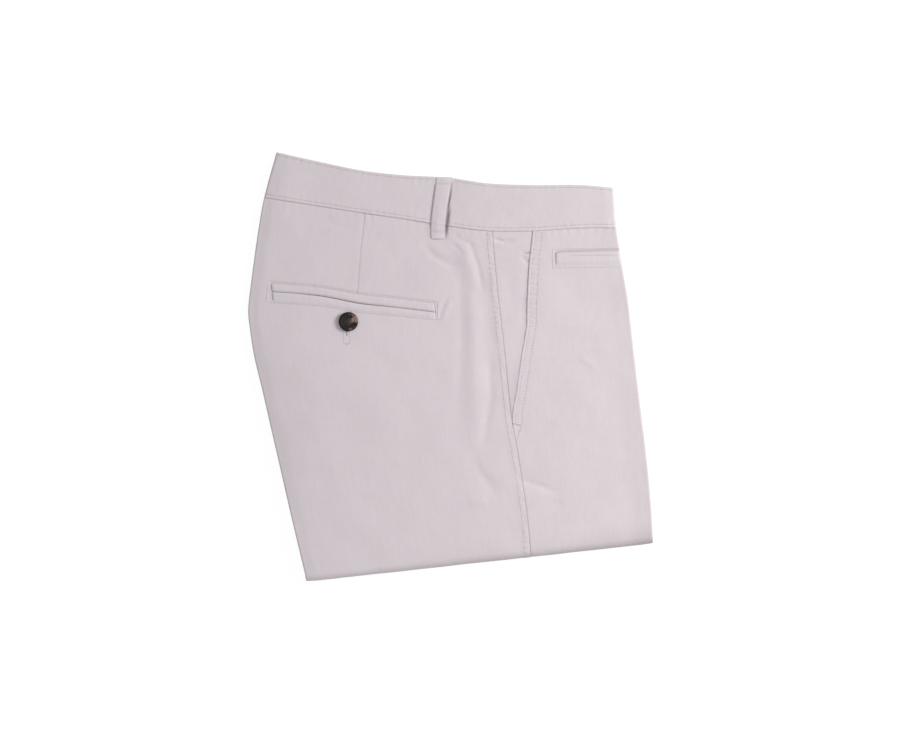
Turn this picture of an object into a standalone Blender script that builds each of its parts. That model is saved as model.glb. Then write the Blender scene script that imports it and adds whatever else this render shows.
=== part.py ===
"""Chino shorts, folded flat along the leg creases with both leg ends turned under.

The wearer's right side lies uppermost: waist towards +Y, back towards -X, front towards +X.
Every piece is drawn on one set of cross lines. A cross line runs from the back fold to the front
fold, and its level is its distance in millimetres from the lower fold. A point on it has an x and
a depth below the top of the folded stack. Where the legs turn under, depth becomes a radius about
the middle of the stack, so that each ply wraps round the ply inside it.
"""

import math
from functools import lru_cache

import bmesh
import bpy
from mathutils import Vector
from mathutils.bvhtree import BVHTree

MM = 0.001                   # lengths below are in millimetres, objects are in metres

# Driving dimensions
PLY = 1.2                    # wall of one panel
GAP = 0.3                    # between pieces that lie on each other
ROLL = 3.0                   # a side fold: two plies and the air in its bend
HOOK = 6.0                   # how far a panel runs back under itself at a side fold
HALF_STACK = 2 * (ROLL + GAP)     # right leg and left leg, above the middle of the lower fold
FLAT_HEIGHT = 7.2            # top of the stack where only the two legs lie on the table
HEM_LEVEL = 158.0            # length of leg turned under
HEM_PLY = 1.6                # the hem is folded up inside, so its wall is thicker
HEM_DEPTH = 25.0
LAST_STRAIGHT = 160.0        # cross lines above this level bend into the curve of the waist
WAIST_LEVEL = 290.0
SEAM_GAP = 0.15              # half of the gap at a seam
MELT = 0.0005                # corners nearer than this become one

BAND_PLY = 1.9               # waistband: two plies of cloth and the stiffener between them
BAND_GAP = 0.35
BAND_HEIGHT = 4 * BAND_PLY + 3 * BAND_GAP
BAND_DIP = 1.2               # how far the upper band sinks where no tuck holds it up
BAND_STEP = 0.5              # the band stands this far above the panels
FRONT_TUCK = 115.0           # front fold to centre front, tucked between the halves
BACK_TUCK = 9.0              # back fold to centre back

FACING_PLY = 1.0
FACING_UNDER = 8.0           # how far the facing runs on under the pocket mouth
POCKET_LIFT = 1.45           # the front panel rises this far to lie over the facing
POCKET_END = 114.0           # level of the lower end of the slanted pocket
LIFT_LEVELS = (92.0, POCKET_END)      # the rise fades out below the pocket
LIFT_WIDTH = (FACING_UNDER + 1.5, 34.0)   # and across the front
FACING_SINK = 0.2            # the facing lies a little lower than the back panel

WELT_PLY = 1.0
BUTTON_DIAMETER = 17.0
BUTTON_THICKNESS = 3.0
LOOP_WIDTH = 13.0
LOOP_PLY = 1.6
LOOP_ARCH = 2.4

LOWER_FOLD_SLOPE = math.radians(6.31)
LOWER_FOLD_Y = -175.0        # where the lower edge crosses the middle line
TILT_COS = math.cos(LOWER_FOLD_SLOPE)
TILT_SIN = math.sin(LOWER_FOLD_SLOPE)

# Outline: one row for each height on the garment, in millimetres
OUTLINE_COLUMNS = ("y", "back_fold", "side_seam", "pocket_mouth", "front_fold")
OUTLINE = (
    (190.0, -152.5, 37.0, 73.5, 140.0),
    (148.0, -163.9, 37.0, 73.5, 143.6),
    (120.0, -168.9, 37.0, 73.0, 146.0),
    (90.0, -173.2, 40.2, 69.8, 151.0),
    (60.0, -177.0, 43.2, 68.4, 155.9),
    (48.0, -177.8, 44.4, 67.9, 157.3),
    (35.0, -176.5, 45.6, 67.2, 158.8),
    (10.0, -172.6, 48.0, 62.6, 161.5),
    (-20.0, -165.4, 50.9, 58.2, 165.0),
    (-47.0, -159.2, 54.0, 54.4, 168.3),
    (-85.0, -150.4, 60.6, 60.6, 172.8),
    (-125.0, -141.2, 66.6, 66.6, 176.4),
    (-160.0, -132.9, 70.1, 70.1, 178.0),
    (-200.0, -123.2, 73.3, 73.3, 179.0),
)

# Waistband: its lower seam and its top edge
WAIST_COLUMNS = ("x", "seam", "top_edge")
WAIST = (
    (-175.0, 150.4, 193.8),
    (-150.0, 146.5, 188.0),
    (-115.0, 141.0, 180.2),
    (-77.0, 135.1, 172.5),
    (-40.0, 129.6, 168.3),
    (-2.0, 123.6, 166.3),
    (33.0, 119.3, 161.2),
    (72.0, 119.2, 159.7),
    (115.0, 121.8, 159.7),
    (150.0, 121.9, 156.6),
)

# Where the cloth rises and sinks over what lies below it
EDGE_REST = 24.0             # a side this far outside the leg below it no longer rests on it
SLOPE_OUTSIDE = 26.0         # the cloth comes down over this distance outside the leg below
SLOPE_INSIDE = 14.0          # and this much inside it
COVER_ENDS = (140.0, 240.0)  # levels over which the turned-under legs stop lifting the cloth
WAIST_RISE = (230.0, WAIST_LEVEL)     # levels over which the cloth rises to the waistband
CREASE_START = (8.0, 40.0)   # soft folds fade in above the lower fold
CREASE_END = (262.0, WAIST_LEVEL)     # and fade out below the waistband
BAND_SINK = (-150.0, -112.0) # the upper band sinks from the back fold
BAND_LIFT = (-14.0, 24.0)    # and rises where the front tuck holds it up

# How far each line leans outwards for each millimetre above the lower fold; the part that is
# turned under leans inwards by as much
LEAN = {"back_fold": 0.105, "side_seam": 0.008, "front_fold": -0.044}

# Soft folds that show from a step away
FOLD_COLUMNS = ("x0", "y0", "x1", "y1", "rise", "half_width")
FOLDS = (
    (19.0, 110.0, 31.0, 32.0, 0.8, 9.0),
    (30.0, 30.0, 23.0, -72.0, 0.6, 9.0),
    (3.0, 100.0, 14.0, 70.0, -0.5, 8.0),
    (66.0, -99.0, 92.0, -107.0, -0.6, 9.0),
    (22.0, -84.0, 36.0, -106.0, -0.5, 8.0),
    (-140.0, 20.0, -60.0, -30.0, 0.4, 26.0),
    (96.0, 60.0, 130.0, 20.0, 0.4, 22.0),
)

# Back pocket: the line of its opening, from the back fold side to the side seam side
POCKET_COLUMNS = ("x", "opening", "upper_width", "lower_width")
POCKET = (
    (-156.8, 66.0, 7.6, 8.4),
    (-132.0, 64.2, 7.6, 8.2),
    (-110.0, 61.6, 7.8, 7.4),
    (-81.0, 55.9, 8.2, 6.8),
    (-50.0, 52.4, 8.2, 6.2),
    (-13.0, 48.0, 8.0, 5.6),
)
BUTTON_X = -89.5
BUTTON_Y = 39.6

# Coin pocket welt: from its inner end to the front fold
COIN_TOP = 100.9
COIN_DEPTH = 12.6
COIN_START = 93.2

# Belt loop: centre line from the waistband's top edge down over the waist seam
LOOP_TOP = (-5.6, 166.0)
LOOP_FOOT = (-11.2, 112.6)

# Columns of the panels, measured from a side fold and from a seam
FOLD_SIDE_COLUMNS = (HOOK + 0.8, 14.0, 24.0, 36.0)
SEAM_SIDE_COLUMNS = (28.0, 18.0, 9.5, 0.0)
BACK_MIDDLE_COLUMNS = 4
FRONT_MIDDLE_COLUMNS = 2

STRAIGHT_LEVELS = (0.0, 12.0, 28.0, 46.0, 66.0, 90.0, POCKET_END, 136.0, HEM_LEVEL)
CURVED_LEVELS = (176.0, 196.0, 218.0, 242.0, 266.0, WAIST_LEVEL)
FOLD_STEPS = 8               # facets in the half turn round the lower fold
QUARTERS = (-90, -45, 0, 45, 90)      # facets of a rolled edge, in degrees
SHARP_ANGLE = math.radians(40)
SEARCHES = 12                # steps that find where a line crosses the outline

CLOTH = (0.62, 0.56, 0.58, 1.0)
CLOTH_SHADE = (0.55, 0.49, 0.51, 1.0)
BUTTON_BROWN = (0.05, 0.03, 0.025, 1.0)


# ---- Reading the tables -------------------------------------------------------------------

def read(table, columns, name, key):
    """A value from a table, on a smooth curve through its rows."""
    column = columns.index(name)
    rows = sorted(table)
    keys = [row[0] for row in rows]
    values = [row[column] for row in rows]
    key = min(max(key, keys[0]), keys[-1])
    here = max(i for i in range(len(keys) - 1) if keys[i] <= key)

    def slope(i):
        before = max(i - 1, 0)
        after = min(i + 1, len(keys) - 1)
        return (values[after] - values[before]) / (keys[after] - keys[before])

    span = keys[here + 1] - keys[here]
    t = (key - keys[here]) / span
    return (
        values[here] * (1 + 2 * t) * (1 - t) ** 2
        + values[here + 1] * t * t * (3 - 2 * t)
        + slope(here) * span * t * (1 - t) ** 2
        - slope(here + 1) * span * t * t * (1 - t)
    )


def ease(value, start, end):
    """0 before start, 1 after end, smooth between them."""
    t = min(max((value - start) / (end - start), 0.0), 1.0)
    return t * t * (3 - 2 * t)


def waist_seam(x):
    return read(WAIST, WAIST_COLUMNS, "seam", x)


def waist_top(x):
    return read(WAIST, WAIST_COLUMNS, "top_edge", x)


# ---- Cross lines --------------------------------------------------------------------------

def level_y(level, x):
    """Cross lines run parallel to the lower fold, then ease into the waist seam."""
    straight = LOWER_FOLD_Y + HALF_STACK / TILT_COS + x * math.tan(LOWER_FOLD_SLOPE)
    line = straight + min(level, LAST_STRAIGHT) / TILT_COS
    share = max(0.0, (level - LAST_STRAIGHT) / (WAIST_LEVEL - LAST_STRAIGHT))
    return line + (waist_seam(x) - line) * share


@lru_cache(maxsize=None)
def edge_x(name, level):
    """Where a cross line meets a fold, the side seam or the pocket mouth."""
    x = 0.0
    for _ in range(SEARCHES):
        x = read(OUTLINE, OUTLINE_COLUMNS, name, level_y(level, x))
    return x


@lru_cache(maxsize=None)
def turned_x(name, level):
    """The same lines on the part that is turned under."""
    return edge_x(name, 0.0) + level * (LEAN[name] * TILT_COS - TILT_SIN)


# ---- Height of the stack ------------------------------------------------------------------

def band_top(x):
    dip = ease(x, *BAND_SINK) * (1 - ease(x, *BAND_LIFT))
    return BAND_HEIGHT - BAND_DIP * dip


def soft_folds(x, y):
    rise = 0.0
    for row in FOLDS:
        fold = dict(zip(FOLD_COLUMNS, row))
        start = Vector((fold["x0"], fold["y0"]))
        along = Vector((fold["x1"], fold["y1"])) - start
        offset = Vector((x, y)) - start
        share = offset.dot(along) / along.length_squared
        nearest = min(max(share, 0.0), 1.0)
        distance = (offset - along * nearest).length
        rise += fold["rise"] * math.exp(-((distance / fold["half_width"]) ** 2))
    return rise


def side_cover(from_edge, inset):
    """How far the turned-under legs lift the cloth near a side, from 0 to 1."""
    at_edge = 1 - ease(inset, 0.0, EDGE_REST)
    slope = ease(from_edge, inset - SLOPE_OUTSIDE, inset + SLOPE_INSIDE)
    return at_edge + (1 - at_edge) * slope


def height(x, level):
    """Top of the stack above the table."""
    reach = min(level, HEM_LEVEL)
    back = edge_x("back_fold", level)
    front = edge_x("front_fold", level)
    back_inset = turned_x("back_fold", reach) - edge_x("back_fold", reach)
    front_inset = edge_x("front_fold", reach) - turned_x("front_fold", reach)
    cover = side_cover(x - back, back_inset) * side_cover(front - x, front_inset)
    cover *= 1 - ease(level, *COVER_ENDS)
    waist_rise = (band_top(x) - BAND_STEP - FLAT_HEIGHT) * ease(level, *WAIST_RISE)
    folds = soft_folds(x, level_y(level, x)) * ease(level, *CREASE_START)
    folds *= 1 - ease(level, *CREASE_END)
    return FLAT_HEIGHT + (2 * HALF_STACK - FLAT_HEIGHT) * cover + waist_rise + folds


# ---- Stations: where a cross section lies -------------------------------------------------

def on_top(x, level, depth):
    return Vector((x, level_y(level, x), height(x, level) - depth))


def round_fold(x, angle, depth):
    radius = HALF_STACK - depth
    out = radius * math.sin(angle)
    y = level_y(0.0, x)
    return Vector((x + out * TILT_SIN, y - out * TILT_COS, HALF_STACK + radius * math.cos(angle)))


def underneath(x, level, depth):
    return Vector((x, level_y(level, x), depth))


def leg_stations():
    """The whole length of a panel: down the top, round the lower fold, back to the hem."""
    levels = STRAIGHT_LEVELS + CURVED_LEVELS
    stations = [("top", level) for level in reversed(levels)]
    stations += [("fold", math.pi * i / FOLD_STEPS) for i in range(1, FOLD_STEPS)]
    stations += [("under", level) for level in STRAIGHT_LEVELS]
    return stations


def place(station, x, depth):
    kind, where = station
    if kind == "top":
        return on_top(x, where, depth)
    if kind == "fold":
        return round_fold(x, where, depth)
    return underneath(x, where, depth)


def line_x(station, name):
    kind, where = station
    if kind == "top":
        return edge_x(name, where)
    if kind == "fold":
        return edge_x(name, 0.0)
    return turned_x(name, where)


# ---- Mesh helpers -------------------------------------------------------------------------

def finish_mesh(name, mesh, material):
    """Turn a bmesh in millimetres into a named object in metres."""
    bmesh.ops.recalc_face_normals(mesh, faces=mesh.faces)
    bmesh.ops.triangulate(mesh, faces=mesh.faces)
    bmesh.ops.scale(mesh, vec=(MM, MM, MM), verts=mesh.verts)
    data = bpy.data.meshes.new(name)
    mesh.to_mesh(data)
    mesh.free()
    data.shade_smooth()
    data.set_sharp_from_angle(angle=SHARP_ANGLE)
    data.materials.append(material)
    thing = bpy.data.objects.new(name, data)
    bpy.context.collection.objects.link(thing)
    return thing


def loft(rings):
    """Quads between closed rings that have the same number of points."""
    mesh = bmesh.new()
    rows = [[mesh.verts.new(point) for point in ring] for ring in rings]
    count = len(rows[0])
    for row, following in zip(rows, rows[1:]):
        for i in range(count):
            j = (i + 1) % count
            mesh.faces.new((row[i], row[j], following[j], following[i]))
    return mesh, rows


def close_strip(mesh, row):
    """Close the end of a wall whose ring runs out along one face and back along the other."""
    last = len(row) - 1
    for i in range(len(row) // 2 - 1):
        mesh.faces.new((row[i], row[i + 1], row[last - i - 1], row[last - i]))


def wall(name, rings, material):
    mesh, rows = loft(rings)
    close_strip(mesh, rows[0])
    close_strip(mesh, rows[-1])
    return finish_mesh(name, mesh, material)


def material(name, colour, roughness):
    finish = bpy.data.materials.new(name)
    finish.use_nodes = True
    shader = finish.node_tree.nodes["Principled BSDF"]
    shader.inputs["Base Color"].default_value = colour
    shader.inputs["Roughness"].default_value = roughness
    shader.inputs["Metallic"].default_value = 0.0
    finish.diffuse_color = colour
    return finish


# ---- Panels -------------------------------------------------------------------------------

def panel_columns(width, middle):
    """Distances from the side fold across a panel."""
    near = list(FOLD_SIDE_COLUMNS)
    far = [width - distance for distance in SEAM_SIDE_COLUMNS]
    step = (far[0] - near[-1]) / (middle + 1)
    between = [near[-1] + step * (i + 1) for i in range(middle)]
    return near + between + far


def rolled_edge(ply):
    """A panel's hook and roll at a side fold: (distance in, outer depth, inner depth)."""
    outer = ROLL / 2
    inner = outer - ply
    path = [(x, x, ROLL, ROLL - ply) for x in (HOOK, outer + 1.0)]
    for degrees in QUARTERS:
        turn = math.radians(degrees)
        path.append((
            outer - outer * math.cos(turn),
            outer - inner * math.cos(turn),
            outer - outer * math.sin(turn),
            outer - inner * math.sin(turn),
        ))
    return path


def hem_ply(station):
    kind, where = station
    return HEM_PLY if kind == "under" and where > HEM_LEVEL - HEM_DEPTH else PLY


def pocket_lift(x, level):
    """How far the front panel stands up to clear the facing beneath its mouth."""
    from_mouth = x - edge_x("pocket_mouth", level)
    along = ease(level, *LIFT_LEVELS)
    return POCKET_LIFT * along * (1 - ease(from_mouth, *LIFT_WIDTH))


def front_start(station):
    kind, where = station
    if kind == "top" and where >= POCKET_END:
        return edge_x("pocket_mouth", where) + SEAM_GAP
    return line_x(station, "side_seam") + SEAM_GAP


def panel_ring(station, fold_x, seam_x, middle, lifted):
    """One closed section through a panel, from its hook to its seam and back inside."""
    inwards = 1 if seam_x > fold_x else -1
    ply = hem_ply(station)
    trim = SEAM_GAP if station == ("top", WAIST_LEVEL) else 0.0
    path = rolled_edge(PLY)
    path += [(w, w, 0.0, ply) for w in panel_columns(abs(seam_x - fold_x), middle)]

    def point(distance, depth):
        x = fold_x + inwards * distance
        if lifted and station[0] == "top":
            depth = depth - pocket_lift(x, station[1])
        return place(station, x, depth) - Vector((0.0, trim, 0.0))

    outer = [point(out, depth) for out, _, depth, _ in path]
    inner = [point(inside, depth) for _, inside, _, depth in path]
    return outer + inner[::-1]


def back_panel(finish):
    rings = []
    for station in leg_stations():
        seam = line_x(station, "side_seam") - SEAM_GAP
        fold = line_x(station, "back_fold")
        rings.append(panel_ring(station, fold, seam, BACK_MIDDLE_COLUMNS, False))
    return wall("back_panel_right", rings, finish)


def front_panel(finish):
    rings = []
    for station in leg_stations():
        fold = line_x(station, "front_fold")
        rings.append(panel_ring(station, fold, front_start(station), FRONT_MIDDLE_COLUMNS, True))
    return wall("front_panel_right", rings, finish)


def pocket_facing(finish):
    """The wedge between side seam and pocket mouth, running on under the front panel."""
    rings = []
    for level in reversed([v for v in STRAIGHT_LEVELS + CURVED_LEVELS if v >= POCKET_END]):
        seam = edge_x("side_seam", level) + SEAM_GAP
        mouth = edge_x("pocket_mouth", level)
        trim = Vector((0.0, SEAM_GAP if level == WAIST_LEVEL else 0.0, 0.0))
        columns = (seam, (seam + mouth) / 2, mouth, mouth + FACING_UNDER)
        outer = [on_top(x, level, FACING_SINK) - trim for x in columns]
        inner = [on_top(x, level, FACING_SINK + FACING_PLY) - trim for x in columns]
        rings.append(outer + inner[::-1])
    return wall("pocket_facing_right", rings, finish)


# ---- Hidden layers ------------------------------------------------------------------------

CORE_TOP = PLY + GAP
CORE_BOTTOM = HEM_PLY + GAP
LAYER_TOP = ROLL + GAP
LAYER_BOTTOM = 2 * ROLL + GAP
LEFT_LEG_INSET = 0.7
LAYER_SHIFT = 6.0            # most that the turned-under layers show inside the ones above
SLIT_END = 4.4               # the slits between layers run this far in
LAYER_END = 3.2              # where a bead's flat starts
HOOK_CLEAR = HOOK + 0.8      # the solid's own side, clear of the panels' hooks
FLOOR_INSETS = (8.0, 16.0)   # insets over which the lower bead comes down to the table
RISE_TO_HEM = 20.0           # the underside rises over this much to clear the thicker hem
HEM_EDGE = 0.7               # the underside drops to the table just beyond the hem
BASE_MARGIN = 0.02           # share that the underside's columns keep clear of each side


def upper_layer(edge, inwards, level):
    """Side of the left leg's upper layers, from the top of the stack down to mid height."""
    radius = ROLL / 2
    middle = LAYER_TOP + radius
    path = [
        (HOOK_CLEAR, CORE_TOP),
        (HOOK_CLEAR, LAYER_TOP),
        (SLIT_END, LAYER_TOP),
        (LAYER_END, LAYER_TOP),
    ]
    for degrees in reversed(QUARTERS):
        turn = math.radians(degrees)
        path.append((
            LEFT_LEG_INSET + radius - radius * math.cos(turn),
            middle - radius * math.sin(turn),
        ))
    points = []
    for distance, depth in path:
        x = edge + inwards * distance
        points.append((x, height(x, level) - depth))
    return points


def lower_layer(edge, turned, inwards, level):
    """Side of the turned-under leg, mirrored below mid height and listed upwards."""
    inset = abs(turned - edge)
    shift = min(inset, LAYER_SHIFT)
    floor = (ROLL + GAP) * (1 - ease(inset, *FLOOR_INSETS))
    if level > HEM_LEVEL:
        floor = 0.0
    start = edge + inwards * (shift + LEFT_LEG_INSET)
    rim = start + inwards * ROLL / 2
    top = min(HALF_STACK - GAP, height(rim, level) - LAYER_BOTTOM - 2 * GAP)
    top = max(top, floor + GAP)
    notch = LAYER_TOP if level <= HEM_LEVEL else 0.0
    base = ease(level, 0.0, RISE_TO_HEM) * (CORE_BOTTOM - CORE_TOP) + CORE_TOP
    if level > HEM_LEVEL:
        base = 0.0
    inner = turned + inwards * HOOK_CLEAR
    clear = max(inset - 2 * GAP, shift + LAYER_END)
    step = 0.0 if inset > LAYER_SHIFT else SLIT_END - LAYER_END
    points = [
        (inner, base),
        (inner, notch),
        (edge + inwards * (clear + step), notch),
        (edge + inwards * clear, floor),
    ]
    half = (top - floor) / 2
    for degrees in QUARTERS:
        turn = math.radians(degrees)
        points.append((
            rim - inwards * ROLL / 2 * math.cos(turn),
            floor + half + half * math.sin(turn),
        ))
    return points


def core_columns(level):
    """Columns that the hidden layers share with both panels."""
    back = edge_x("back_fold", level)
    seam = edge_x("side_seam", level)
    front = edge_x("front_fold", level)
    left = [back + w for w in panel_columns(seam - back, BACK_MIDDLE_COLUMNS)]
    right = [front - w for w in panel_columns(front - seam, FRONT_MIDDLE_COLUMNS)]
    return left[1:] + right[-2:0:-1]


def turned_edges(level):
    """Both side folds of the leg below, as distances in from the folds above them."""
    reach = min(level, HEM_LEVEL)
    back_inset = turned_x("back_fold", reach) - edge_x("back_fold", reach)
    front_inset = edge_x("front_fold", reach) - turned_x("front_fold", reach)
    if level > HEM_LEVEL:
        back_inset = min(back_inset, LAYER_SHIFT)
        front_inset = min(front_inset, LAYER_SHIFT)
    return back_inset, front_inset


def core_paths(level):
    """The section's upper and lower path, each as its back side, its columns and its front."""
    back = edge_x("back_fold", level)
    front = edge_x("front_fold", level)
    back_inset, front_inset = turned_edges(level)
    columns = core_columns(level)
    upper = (
        upper_layer(back, 1, level)[::-1],
        [(x, height(x, level) - CORE_TOP) for x in columns],
        upper_layer(front, -1, level),
    )
    lower_back = lower_layer(back, back + back_inset, 1, level)
    lower_front = lower_layer(front, front - front_inset, -1, level)
    if 0.0 < level <= HEM_LEVEL:
        first = lower_back[0][0]
        span = lower_front[0][0] - first
        shares = [(x - columns[0]) / (columns[-1] - columns[0]) for x in columns]
        inner_share = 1 - 2 * BASE_MARGIN
        columns = [first + span * (BASE_MARGIN + inner_share * share) for share in shares]
    base = lower_back[0][1]
    lower = (lower_back[::-1], [(x, base) for x in columns], lower_front)
    return upper, lower


def notch_point(edge, inwards, inset, level):
    """The inner end of the slit between the two legs' layers."""
    x = edge + inwards * (min(inset, LAYER_SHIFT) + SLIT_END)
    return (x, height(x, level) - HALF_STACK)


def core_ring(level):
    """One closed section: notch, upper path, notch, lower path back again."""
    upper, lower = core_paths(level)
    back_inset, front_inset = turned_edges(level)
    left = notch_point(edge_x("back_fold", level), 1, back_inset, level)
    right = notch_point(edge_x("front_fold", level), -1, front_inset, level)
    return [left] + sum(upper, []) + [right] + sum(lower, [])[::-1]


def close_waist_end(mesh, row, side, columns):
    """Close the end at the waist, upright column by column because the seam is curved."""
    upper_back = row[1:1 + side]
    upper_middle = row[1 + side:1 + side + columns]
    upper_front = row[1 + side + columns:1 + 2 * side + columns]
    right_notch = row[1 + 2 * side + columns]
    lower = row[2 + 2 * side + columns:][::-1]
    lower_back = lower[:side]
    lower_middle = lower[side:side + columns]
    lower_front = lower[side + columns:]
    top = [upper_back[-1]] + upper_middle + [upper_front[0]]
    bottom = [lower_back[-1]] + lower_middle + [lower_front[0]]
    for i in range(len(top) - 1):
        mesh.faces.new((top[i], top[i + 1], bottom[i + 1], bottom[i]))
    fans = (
        (row[0], upper_back + lower_back[::-1]),
        (right_notch, lower_front[::-1] + upper_front),
    )
    for notch, outline in fans:
        for a, b in zip(outline, outline[1:]):
            mesh.faces.new((notch, a, b))


def folded_layers(finish):
    """The left leg and the inner plies of both legs: one rounded solid, layered at its edges."""
    levels = list(STRAIGHT_LEVELS) + [HEM_LEVEL + HEM_EDGE] + list(CURVED_LEVELS)
    rings = []
    for level in reversed(levels):
        trim = SEAM_GAP if level == WAIST_LEVEL else 0.0
        ring = core_ring(level)
        rings.append([Vector((x, level_y(level, x) - trim, z)) for x, z in ring])
    flat = core_ring(0.0)
    for step in range(1, FOLD_STEPS // 2 + 1):
        turn = math.pi * step / FOLD_STEPS
        ring = []
        for x, z in flat:
            rise = z - HALF_STACK
            out = abs(rise) * math.sin(turn)
            ring.append(Vector((
                x + out * TILT_SIN,
                level_y(0.0, x) - out * TILT_COS,
                HALF_STACK + rise * math.cos(turn),
            )))
        rings.append(ring)
    mesh, rows = loft(rings)
    side = len(upper_layer(0.0, 1, WAIST_LEVEL))
    close_waist_end(mesh, rows[0], side, len(core_columns(WAIST_LEVEL)))
    bmesh.ops.remove_doubles(mesh, verts=mesh.verts, dist=MELT)
    bmesh.ops.dissolve_degenerate(mesh, edges=mesh.edges, dist=MELT)
    return finish_mesh("folded_layers", mesh, finish)


# ---- Waistband ----------------------------------------------------------------------------

BAND_COLUMNS = 18
BAND_ROLL_END = 5.0          # the band's own columns start this far from its folds
TUCK_SHARES = (0.03, 0.15, 0.3, 0.45, 0.6, 0.8, 1.0)
LEFT_BAND_INSET = 0.8
# Rows from the waist seam to the top edge, where the two plies are turned in and thin out
BAND_ROWS = ((0.0, 0.0), (0.33, 0.0), (0.66, 0.0), (0.97, 0.0), (1.0, 0.45))


def band_path(left, right, slim):
    """One half of the waistband in section: (x of outer, x of inner, outer depth, inner depth)."""
    outer = BAND_PLY + BAND_GAP / 2
    inner = BAND_GAP / 2
    full = 2 * BAND_PLY + BAND_GAP
    far = BAND_PLY + BAND_GAP
    path = []
    for x in (left + BACK_TUCK, left + outer + 1.0):
        path.append((x, x, full - slim, far + slim))
    for degrees in QUARTERS:
        turn = math.radians(degrees)
        path.append((
            left + outer - (outer - slim) * math.cos(turn),
            left + outer - (inner + slim) * math.cos(turn),
            outer - (outer - slim) * math.sin(turn),
            outer - (inner + slim) * math.sin(turn),
        ))
    start = left + outer + BAND_ROLL_END
    end = right - outer - BAND_ROLL_END
    for i in range(BAND_COLUMNS + 1):
        x = start + (end - start) * i / BAND_COLUMNS
        path.append((x, x, slim, BAND_PLY - slim))
    for degrees in reversed(QUARTERS):
        turn = math.radians(degrees)
        path.append((
            right - outer + (outer - slim) * math.cos(turn),
            right - outer + (inner + slim) * math.cos(turn),
            outer - (outer - slim) * math.sin(turn),
            outer - (inner + slim) * math.sin(turn),
        ))
    for share in TUCK_SHARES:
        x = right - outer - (FRONT_TUCK - outer) * share
        path.append((x, x, full - slim, far + slim))
    return path


def band_y(x, share):
    low = waist_seam(x) + SEAM_GAP
    return low + (waist_top(x) - low) * share


def band_edge(name, share):
    x = 0.0
    for _ in range(SEARCHES):
        x = read(OUTLINE, OUTLINE_COLUMNS, name, band_y(x, share))
    return x


def waistband(name, upper, inset, finish):
    rings = []
    for share, slim in BAND_ROWS:
        left = band_edge("back_fold", share) + inset
        right = band_edge("front_fold", share) - inset
        outer = []
        inner = []
        for out_x, in_x, out_depth, in_depth in band_path(left, right, slim):
            for x, depth, side in ((out_x, out_depth, outer), (in_x, in_depth, inner)):
                z = band_top(x) - depth if upper else depth
                side.append(Vector((x, band_y(x, share), z)))
        rings.append(outer + inner[::-1])
    return wall(name, rings, finish)


# ---- What lies on the panels --------------------------------------------------------------

PROBE = 0.8                  # reach over a seam's gap when the cloth's height is measured
LAID_GAP = GAP + 0.05
WELT_STEPS = 14
WELT_LEAN = 0.12             # the welts' ends lean with the back panel's grain
COIN_RISE = 1.2              # the coin pocket's opening climbs towards the front fold
COIN_INSET = 2.2             # and stops short of the bend
LOOP_STEPS = 12
LOOP_SEWN = (0.06, 0.90)     # shares of the loop's length where it is sewn down
HOLE_RADIUS = 0.95
HOLE_RING = 2.3              # from the button's centre to the middle of a hole
BUTTON_SIDES = 28


def surfaces_of(things):
    """One search tree over several finished objects."""
    corners = []
    faces = []
    for thing in things:
        first = len(corners)
        corners += [vert.co.copy() for vert in thing.data.vertices]
        faces += [[first + i for i in face.vertices] for face in thing.data.polygons]
    return BVHTree.FromPolygons(corners, faces)


def surface_height(tree, x, y):
    """The highest cloth at a point and just beside it, so that a seam's gap is bridged."""
    heights = []
    for dx, dy in ((0.0, 0.0), (PROBE, 0.0), (-PROBE, 0.0), (0.0, PROBE), (0.0, -PROBE)):
        start = Vector((x + dx, y + dy, 5 * BAND_HEIGHT)) * MM
        hit = tree.ray_cast(start, Vector((0.0, 0.0, -1.0)))
        if hit[0] is not None:
            heights.append(hit[0].z / MM)
    return max(heights)


def laid_strip(name, tree, rows, ply, finish, arch=None):
    """A strip on the cloth: each row gives its points from one long edge to the other."""
    rings = []
    for number, row in enumerate(rows):
        outer = []
        inner = []
        for x, y in row:
            lift = arch(number / (len(rows) - 1), x, y) if arch else 0.0
            base = surface_height(tree, x, y) + LAID_GAP + lift
            inner.append(Vector((x, y, base)))
            outer.append(Vector((x, y, base + ply)))
        rings.append(outer + inner[::-1])
    return wall(name, rings, finish)


def back_pocket(tree, finish):
    first = POCKET[0][0]
    last = POCKET[-1][0]
    lines = {"back_pocket_welt_upper": [], "back_pocket_welt_lower": []}
    for i in range(WELT_STEPS + 1):
        x = first + (last - first) * i / WELT_STEPS
        opening = read(POCKET, POCKET_COLUMNS, "opening", x)
        upper = read(POCKET, POCKET_COLUMNS, "upper_width", x)
        lower = read(POCKET, POCKET_COLUMNS, "lower_width", x)
        upper_row = []
        lower_row = []
        for share in (0.0, 0.5, 1.0):
            rise = GAP + (upper - GAP) * share
            upper_row.append((x + rise * WELT_LEAN, opening + rise))
            drop = GAP + (lower - GAP) * share
            lower_row.append((x - drop * WELT_LEAN, opening - drop))
        lines["back_pocket_welt_upper"].append(upper_row)
        lines["back_pocket_welt_lower"].append(lower_row)
    for name, rows in lines.items():
        laid_strip(name, tree, rows, WELT_PLY, finish)


def coin_pocket(tree, finish):
    """A welt across the front that runs out over the front fold."""
    rows = []
    for share in (0.0, 0.25, 0.5, 0.75, 1.0):
        row = []
        for part in (0.0, 0.5, 1.0):
            y = COIN_TOP - COIN_DEPTH * part + COIN_RISE * share
            edge = read(OUTLINE, OUTLINE_COLUMNS, "front_fold", y) - COIN_INSET
            row.append((COIN_START + (edge - COIN_START) * share, y))
        rows.append(row)
    return laid_strip("coin_pocket_welt", tree, rows, WELT_PLY, finish)


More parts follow.
